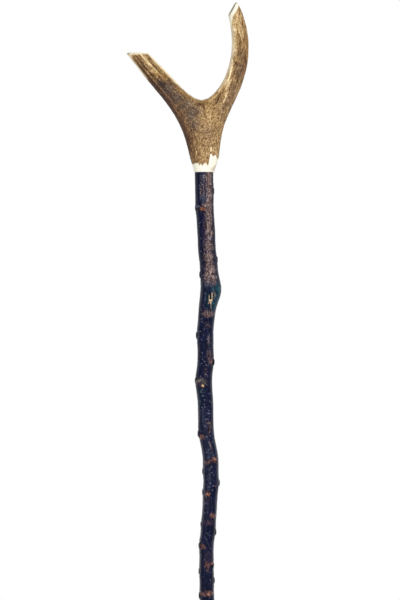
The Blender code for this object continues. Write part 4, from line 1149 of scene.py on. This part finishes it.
# %% Bark material
def bark_finish():
    make = Finish("bark")
    stem = make.attribute("stem", vector=True)
    scaled = make.attribute("scales")
    streak = make.noise(make.stretched(stem, (1.0, 1.0, 0.14)), 0.60, 3.0, 0.6)
    grit = make.noise(stem, 0.85, 3.0, 0.65)
    value = make.sum("ADD", make.sum("MULTIPLY", scaled, 0.55), make.sum("MULTIPLY", grit, 0.45))

    def ragged(name, low=0.36, high=0.60):
        """The share of a mark, with its edge broken up by the grit."""
        share = make.attribute(name)
        broken = make.sum("ADD", share, make.between(grit, 0.25, 0.75, -0.34, 0.34))
        return make.sum("MULTIPLY", make.between(broken, low, high), make.between(share, 0.04, 0.22))

    tint = make.ramp(
        make.sum("ADD", make.sum("MULTIPLY", streak, 0.5), make.sum("MULTIPLY", value, 0.5)),
        (0.34, (2, 5, 16)),
        (0.48, (4, 11, 38)),
        (0.60, (18, 21, 54)),
        (0.74, (56, 52, 80)),
    )
    plum = make.ramp(
        value,
        (0.28, (40, 26, 32)),
        (0.42, (86, 68, 68)),
        (0.56, (126, 106, 102)),
        (0.72, (174, 152, 142)),
    )
    # Plum over the bark: bloom, and in part painted light on the right half of the upper shank.
    tint = make.over(make.sum("MULTIPLY", ragged("bloom_and_light", 0.22, 0.80), 0.95), tint, plum)
    # Stains, and the slate of a painted reflection.
    for name, (share, *stops) in BARK_STAINS.items():
        tint = make.over(make.sum("MULTIPLY", make.attribute(name), share), tint, make.ramp(value, *stops))
    rust = make.ramp(
        value,
        (0.32, (38, 22, 30)),
        (0.48, (80, 54, 58)),
        (0.62, (116, 82, 78)),
        (0.78, (160, 120, 104)),
    )
    tint = make.over(ragged("rust"), tint, rust)
    orange = make.ramp(value, (0.34, (82, 46, 34)), (0.52, (140, 90, 62)), (0.72, (206, 154, 108)))
    tint = make.over(ragged("orange", 0.42, 0.80), tint, orange)
    # Painted shade on the right edge, and dark marks by the knots and in the scar.
    tint = make.over(make.sum("MULTIPLY", make.attribute("shade"), 0.9), tint, colour(10, 6, 12))
    tint = make.over(make.between(make.attribute("cream"), 0.35, 0.85), tint, colour(208, 186, 150))
    dash = make.cells(make.stretched(stem, (0.55, 0.55, 1.5)), 0.36)
    dot = make.cells(stem, 0.40)
    gathered = make.between(make.noise(stem, 0.11, 2.0), 0.42, 0.60)
    lenticel = make.sum("MULTIPLY", make.between(dash, 0.17, 0.08), gathered)
    dust = make.sum("MULTIPLY", make.between(dot, 0.19, 0.10), make.between(grit, 0.46, 0.58))
    fleck = make.sum("MAXIMUM", make.sum("MULTIPLY", lenticel, 0.55), make.sum("MULTIPLY", dust, 0.42))
    tint = make.over(fleck, tint, colour(122, 122, 158))
    specked = make.sum("MULTIPLY", make.attribute("pale"), make.between(grit, 0.35, 0.65, 0.30, 0.62))
    tint = make.over(specked, tint, colour(168, 170, 194))
    wood_grain = make.noise(make.stretched(stem, (1.0, 1.0, 0.05)), 0.9, 3.0)
    wood = make.ramp(wood_grain, (0.35, (150, 112, 76)), (0.65, (202, 168, 124)))
    tint = make.over(make.attribute("bare"), tint, wood)
    height_now = make.sum("ADD", make.sum("MULTIPLY", streak, 0.5), make.sum("MULTIPLY", grit, 0.5))
    make.set(base_color=tint, roughness=make.between(grit, 0.3, 0.7, 0.40, 0.58))
    make.set(normal=make.bump(height_now, 0.0004, 0.6))
    varnish = make.between(make.turned_away(), 0.16, 0.52, 0.05, 1.0)
    make.set(coat_weight=make.sum("MULTIPLY", varnish, make.attribute("gloss")))
    make.shader.inputs["Specular IOR Level"].default_value = 0.05
    make.shader.inputs["Coat Roughness"].default_value = 0.15
    return make.material


make_piece(bark_mesh, "blackthorn_bark", bark_finish(), "stick", "bark", "blackthorn_shank")

# %% [markdown]
# ## The rubber ferrule
# A ferrule is moulded in one piece. Its outline from the tread to the lip is drawn once as a chain of edges
# and spun about the upright line. Rubber has no sharp edges, so the corners of the outline are bevelled
# before the spin.

# %% Spin the ferrule: radius and height in millimetres
WALL_FOOT_RADIUS, WALL_TOP_RADIUS = 14.0, 11.3
WALL_FOOT, WALL_HEIGHT = 7.5, 27.5
RIB_SPACING, RIB_HALF = 5.0, 1.75
TREAD_LAND = 4.2  # radius of the flat land in the tread's middle
GROOVE_WIDTH, GROOVE_DEPTH = 1.8, 1.6
GROOVE_SPACING = 13.4 / 3
FERRULE_EDGE = ((17.4, 0.0), (18.0, 0.6), (18.0, 6.9), (17.4, 7.5), (14.0, 7.6))
FERRULE_LIP = (
    (WALL_TOP_RADIUS, 34.9), (12.4, 36.1), (12.4, 40.9), (11.5, 42.0), (7.9, 42.0), (7.5, 41.5), (7.5, 12.0),
    (0.0, 12.0),
)
print("outline points of the edge and the lip:", len(FERRULE_EDGE), len(FERRULE_LIP))


def ferrule_outline():
    """The tread with its three grooves, the edge, the wall with its three ribs, the lip and the socket."""
    outline = [(0.0, 0.0)]
    for i in range(3):
        inner = TREAD_LAND + i * GROOVE_SPACING
        outer = inner + GROOVE_WIDTH
        outline += [(inner, 0.0), (inner, GROOVE_DEPTH), (outer, GROOVE_DEPTH), (outer, 0.0)]
    outline += FERRULE_EDGE
    for i in range(3):
        middle = WALL_FOOT + (i + 1) * RIB_SPACING - RIB_HALF
        for along, stands in ((-RIB_HALF, 0.0), (-0.75, 0.9), (0.75, 0.9), (RIB_HALF, 0.0)):
            level = middle + along
            taper = (WALL_TOP_RADIUS - WALL_FOOT_RADIUS) * (level - WALL_FOOT) / WALL_HEIGHT
            outline.append((WALL_FOOT_RADIUS + taper + stands, level))
    return outline + list(FERRULE_LIP)


def spun(outline, name, steps, bevel):
    bm = bmesh.new()
    verts = [bm.verts.new((radius / 1000, 0, level / 1000)) for radius, level in outline]
    for pair in zip(verts, verts[1:]):
        bm.edges.new(pair)
    bmesh.ops.bevel(
        bm, geom=verts[1:-1], offset=bevel, offset_type="OFFSET", affect="VERTICES",
        segments=3, profile=0.5, material=-1,
    )
    turned = list(bm.verts) + list(bm.edges)
    bmesh.ops.spin(
        bm, geom=turned, cent=(0, 0, 0), axis=(0, 0, 1), angle=2 * math.pi, steps=steps, use_merge=True,
    )
    bmesh.ops.remove_doubles(bm, verts=bm.verts, dist=1e-6)
    bmesh.ops.recalc_face_normals(bm, faces=bm.faces)
    mesh = bpy.data.meshes.new(name)
    bm.to_mesh(mesh)
    bm.free()
    mesh.shade_smooth()
    mesh.set_sharp_from_angle(angle=math.radians(50))
    return mesh


ferrule_mesh = spun(ferrule_outline(), "ferrule", steps=96, bevel=0.0003)

# %% Rubber material
def rubber_finish():
    make = Finish("rubber")
    place = make.place()
    dust = make.noise(place, 90.0, 4.0, 0.6)
    grain = make.noise(place, 1400.0, 2.0, 0.5)
    tint = make.ramp(dust, (0.35, (26, 26, 27)), (0.55, (38, 37, 37)), (0.75, (72, 68, 64)))
    make.set(base_color=tint, roughness=make.between(dust, 0.3, 0.7, 0.62, 0.82))
    make.set(normal=make.bump(grain, 0.00012, 0.5))
    make.shader.inputs["Specular IOR Level"].default_value = 0.3
    return make.material


make_piece(ferrule_mesh, "ferrule_rubber", rubber_finish(), "ferrule", "rubber", "rubber_ferrule")

# %% [markdown]
# ## Steel that is out of sight
# The stud and the disc keep their solids. They are zinc plated, so the metal is pale, slightly cloudy, and
# its roughness changes in small patches where the plating took differently.

# %% Zinc plate material
def zinc_finish():
    make = Finish("zinc_plate")
    place = make.place()
    cloudy = make.noise(place, 320.0, 4.0, 0.6)
    tint = make.ramp(cloudy, (0.30, (176, 178, 178)), (0.60, (206, 206, 202)), (0.80, (222, 220, 212)))
    make.set(base_color=tint, roughness=make.between(cloudy, 0.3, 0.7, 0.28, 0.46))
    make.set(normal=make.bump(cloudy, 0.0001, 0.3))
    make.shader.inputs["Metallic"].default_value = 1.0
    return make.material


zinc = zinc_finish()
for node in ("joining_stud", "ferrule_disc"):
    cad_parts[node].data.materials.clear()
    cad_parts[node].data.materials.append(zinc)
print("zinc plate on the stud and the disc")

# %% [markdown]
# ## Floor, light and camera
# The photo shows the stick cut out on white. The world is white to the camera and to reflections, and lights
# the stick at a lower, plain level. A large lamp from the upper right and a weaker one from the left make the
# left sides fall off a little, as in the photo. The camera is far off with a long lens, and level.

# %% The rays that see white
def seen_rays(tree):
    """1 for a ray from the camera, or off or through a shiny surface, and 0 for light on the stick."""
    path = tree.nodes.new("ShaderNodeLightPath")
    so_far = path.outputs["Is Camera Ray"]
    for name in ("Is Glossy Ray", "Is Transmission Ray"):
        either = tree.nodes.new("ShaderNodeMath")
        either.operation = "MAXIMUM"
        tree.links.new(so_far, either.inputs[0])
        tree.links.new(path.outputs[name], either.inputs[1])
        so_far = either.outputs[0]
    return so_far


print("white is seen by the camera, and in and through shiny surfaces")

# %% Floor
FLOOR_RADIUS = 3.8
FLOOR_LEVEL = -0.0004  # a hair below the tread, so that they share no plane
FLOOR_GLOW = 0.6  # how much of its paleness is its own, so that the rest still shows the shadow


def floor_disc():
    bm = bmesh.new()
    bmesh.ops.create_circle(bm, cap_ends=True, segments=96, radius=FLOOR_RADIUS)
    bmesh.ops.translate(bm, verts=bm.verts, vec=(0, 0, FLOOR_LEVEL))
    mesh = bpy.data.meshes.new("floor")
    bm.to_mesh(mesh)
    bm.free()
    disc = bpy.data.objects.new("floor", mesh)
    bpy.context.scene.collection.objects.link(disc)
    make = Finish("pale_floor")
    make.set(base_color=colour(238, 238, 236), roughness=0.9)
    glow = make.tree.nodes.new("ShaderNodeEmission")
    blend = make.tree.nodes.new("ShaderNodeMixShader")
    make.feed(blend.inputs[0], make.sum("MULTIPLY", seen_rays(make.tree), FLOOR_GLOW))
    make.feed(blend.inputs[1], make.shader.outputs[0])
    make.feed(blend.inputs[2], glow.outputs[0])
    make.feed(make.tree.nodes["Material Output"].inputs["Surface"], blend.outputs[0])
    mesh.materials.append(make.material)


floor_disc()
print("floor:", 2 * FLOOR_RADIUS, "m across")

# %% World and lamps
def white_world(level):
    world = bpy.data.worlds.new("white_room")
    bpy.context.scene.world = world
    world.use_nodes = True
    tree = world.node_tree
    background = tree.nodes["Background"]
    background.inputs["Color"].default_value = (1, 1, 1, 1)
    strength = tree.nodes.new("ShaderNodeMapRange")
    tree.links.new(seen_rays(tree), strength.inputs["Value"])
    strength.inputs["To Min"].default_value = level
    strength.inputs["To Max"].default_value = 1.0
    tree.links.new(strength.outputs["Result"], background.inputs["Strength"])


def soft_lamp(name, place, aim, size, power):
    data = bpy.data.lights.new(name, "AREA")
    data.shape = "RECTANGLE"
    data.size, data.size_y = size
    data.energy = power
    lamp = bpy.data.objects.new(name, data)
    bpy.context.scene.collection.objects.link(lamp)
    lamp.location = place
    lamp.rotation_euler = (Vector(aim) - Vector(place)).to_track_quat("-Z", "Y").to_euler()


white_world(level=0.58)
soft_lamp("window", (1.3, -2.1, 1.8), aim=(0, 0, 0.85), size=(1.2, 1.6), power=36.0)
soft_lamp("bounce", (-1.4, -2.1, 1.1), aim=(0, 0, 0.8), size=(1.4, 1.8), power=14.0)

# %% Camera
LENS, SENSOR = 175.0, 36.0  # millimetres
CAMERA_AWAY = 3.5  # metres in front of the stick
CAMERA_SIDEWAYS, CAMERA_UP = -0.0072, 0.8924  # the middle of what the photo shows


def level_camera():
    data = bpy.data.cameras.new("camera")
    data.lens = LENS
    data.sensor_fit = "VERTICAL"
    data.sensor_height = SENSOR
    camera = bpy.data.objects.new("camera", data)
    bpy.context.scene.collection.objects.link(camera)
    camera.location = (CAMERA_SIDEWAYS, -CAMERA_AWAY, CAMERA_UP)
    camera.rotation_euler = (math.pi / 2, 0, 0)
    bpy.context.scene.camera = camera


level_camera()
bpy.context.scene.view_settings.view_transform = "Standard"
print("the photo's frame is", round(SENSOR / LENS * CAMERA_AWAY, 3), "m high at the stick")
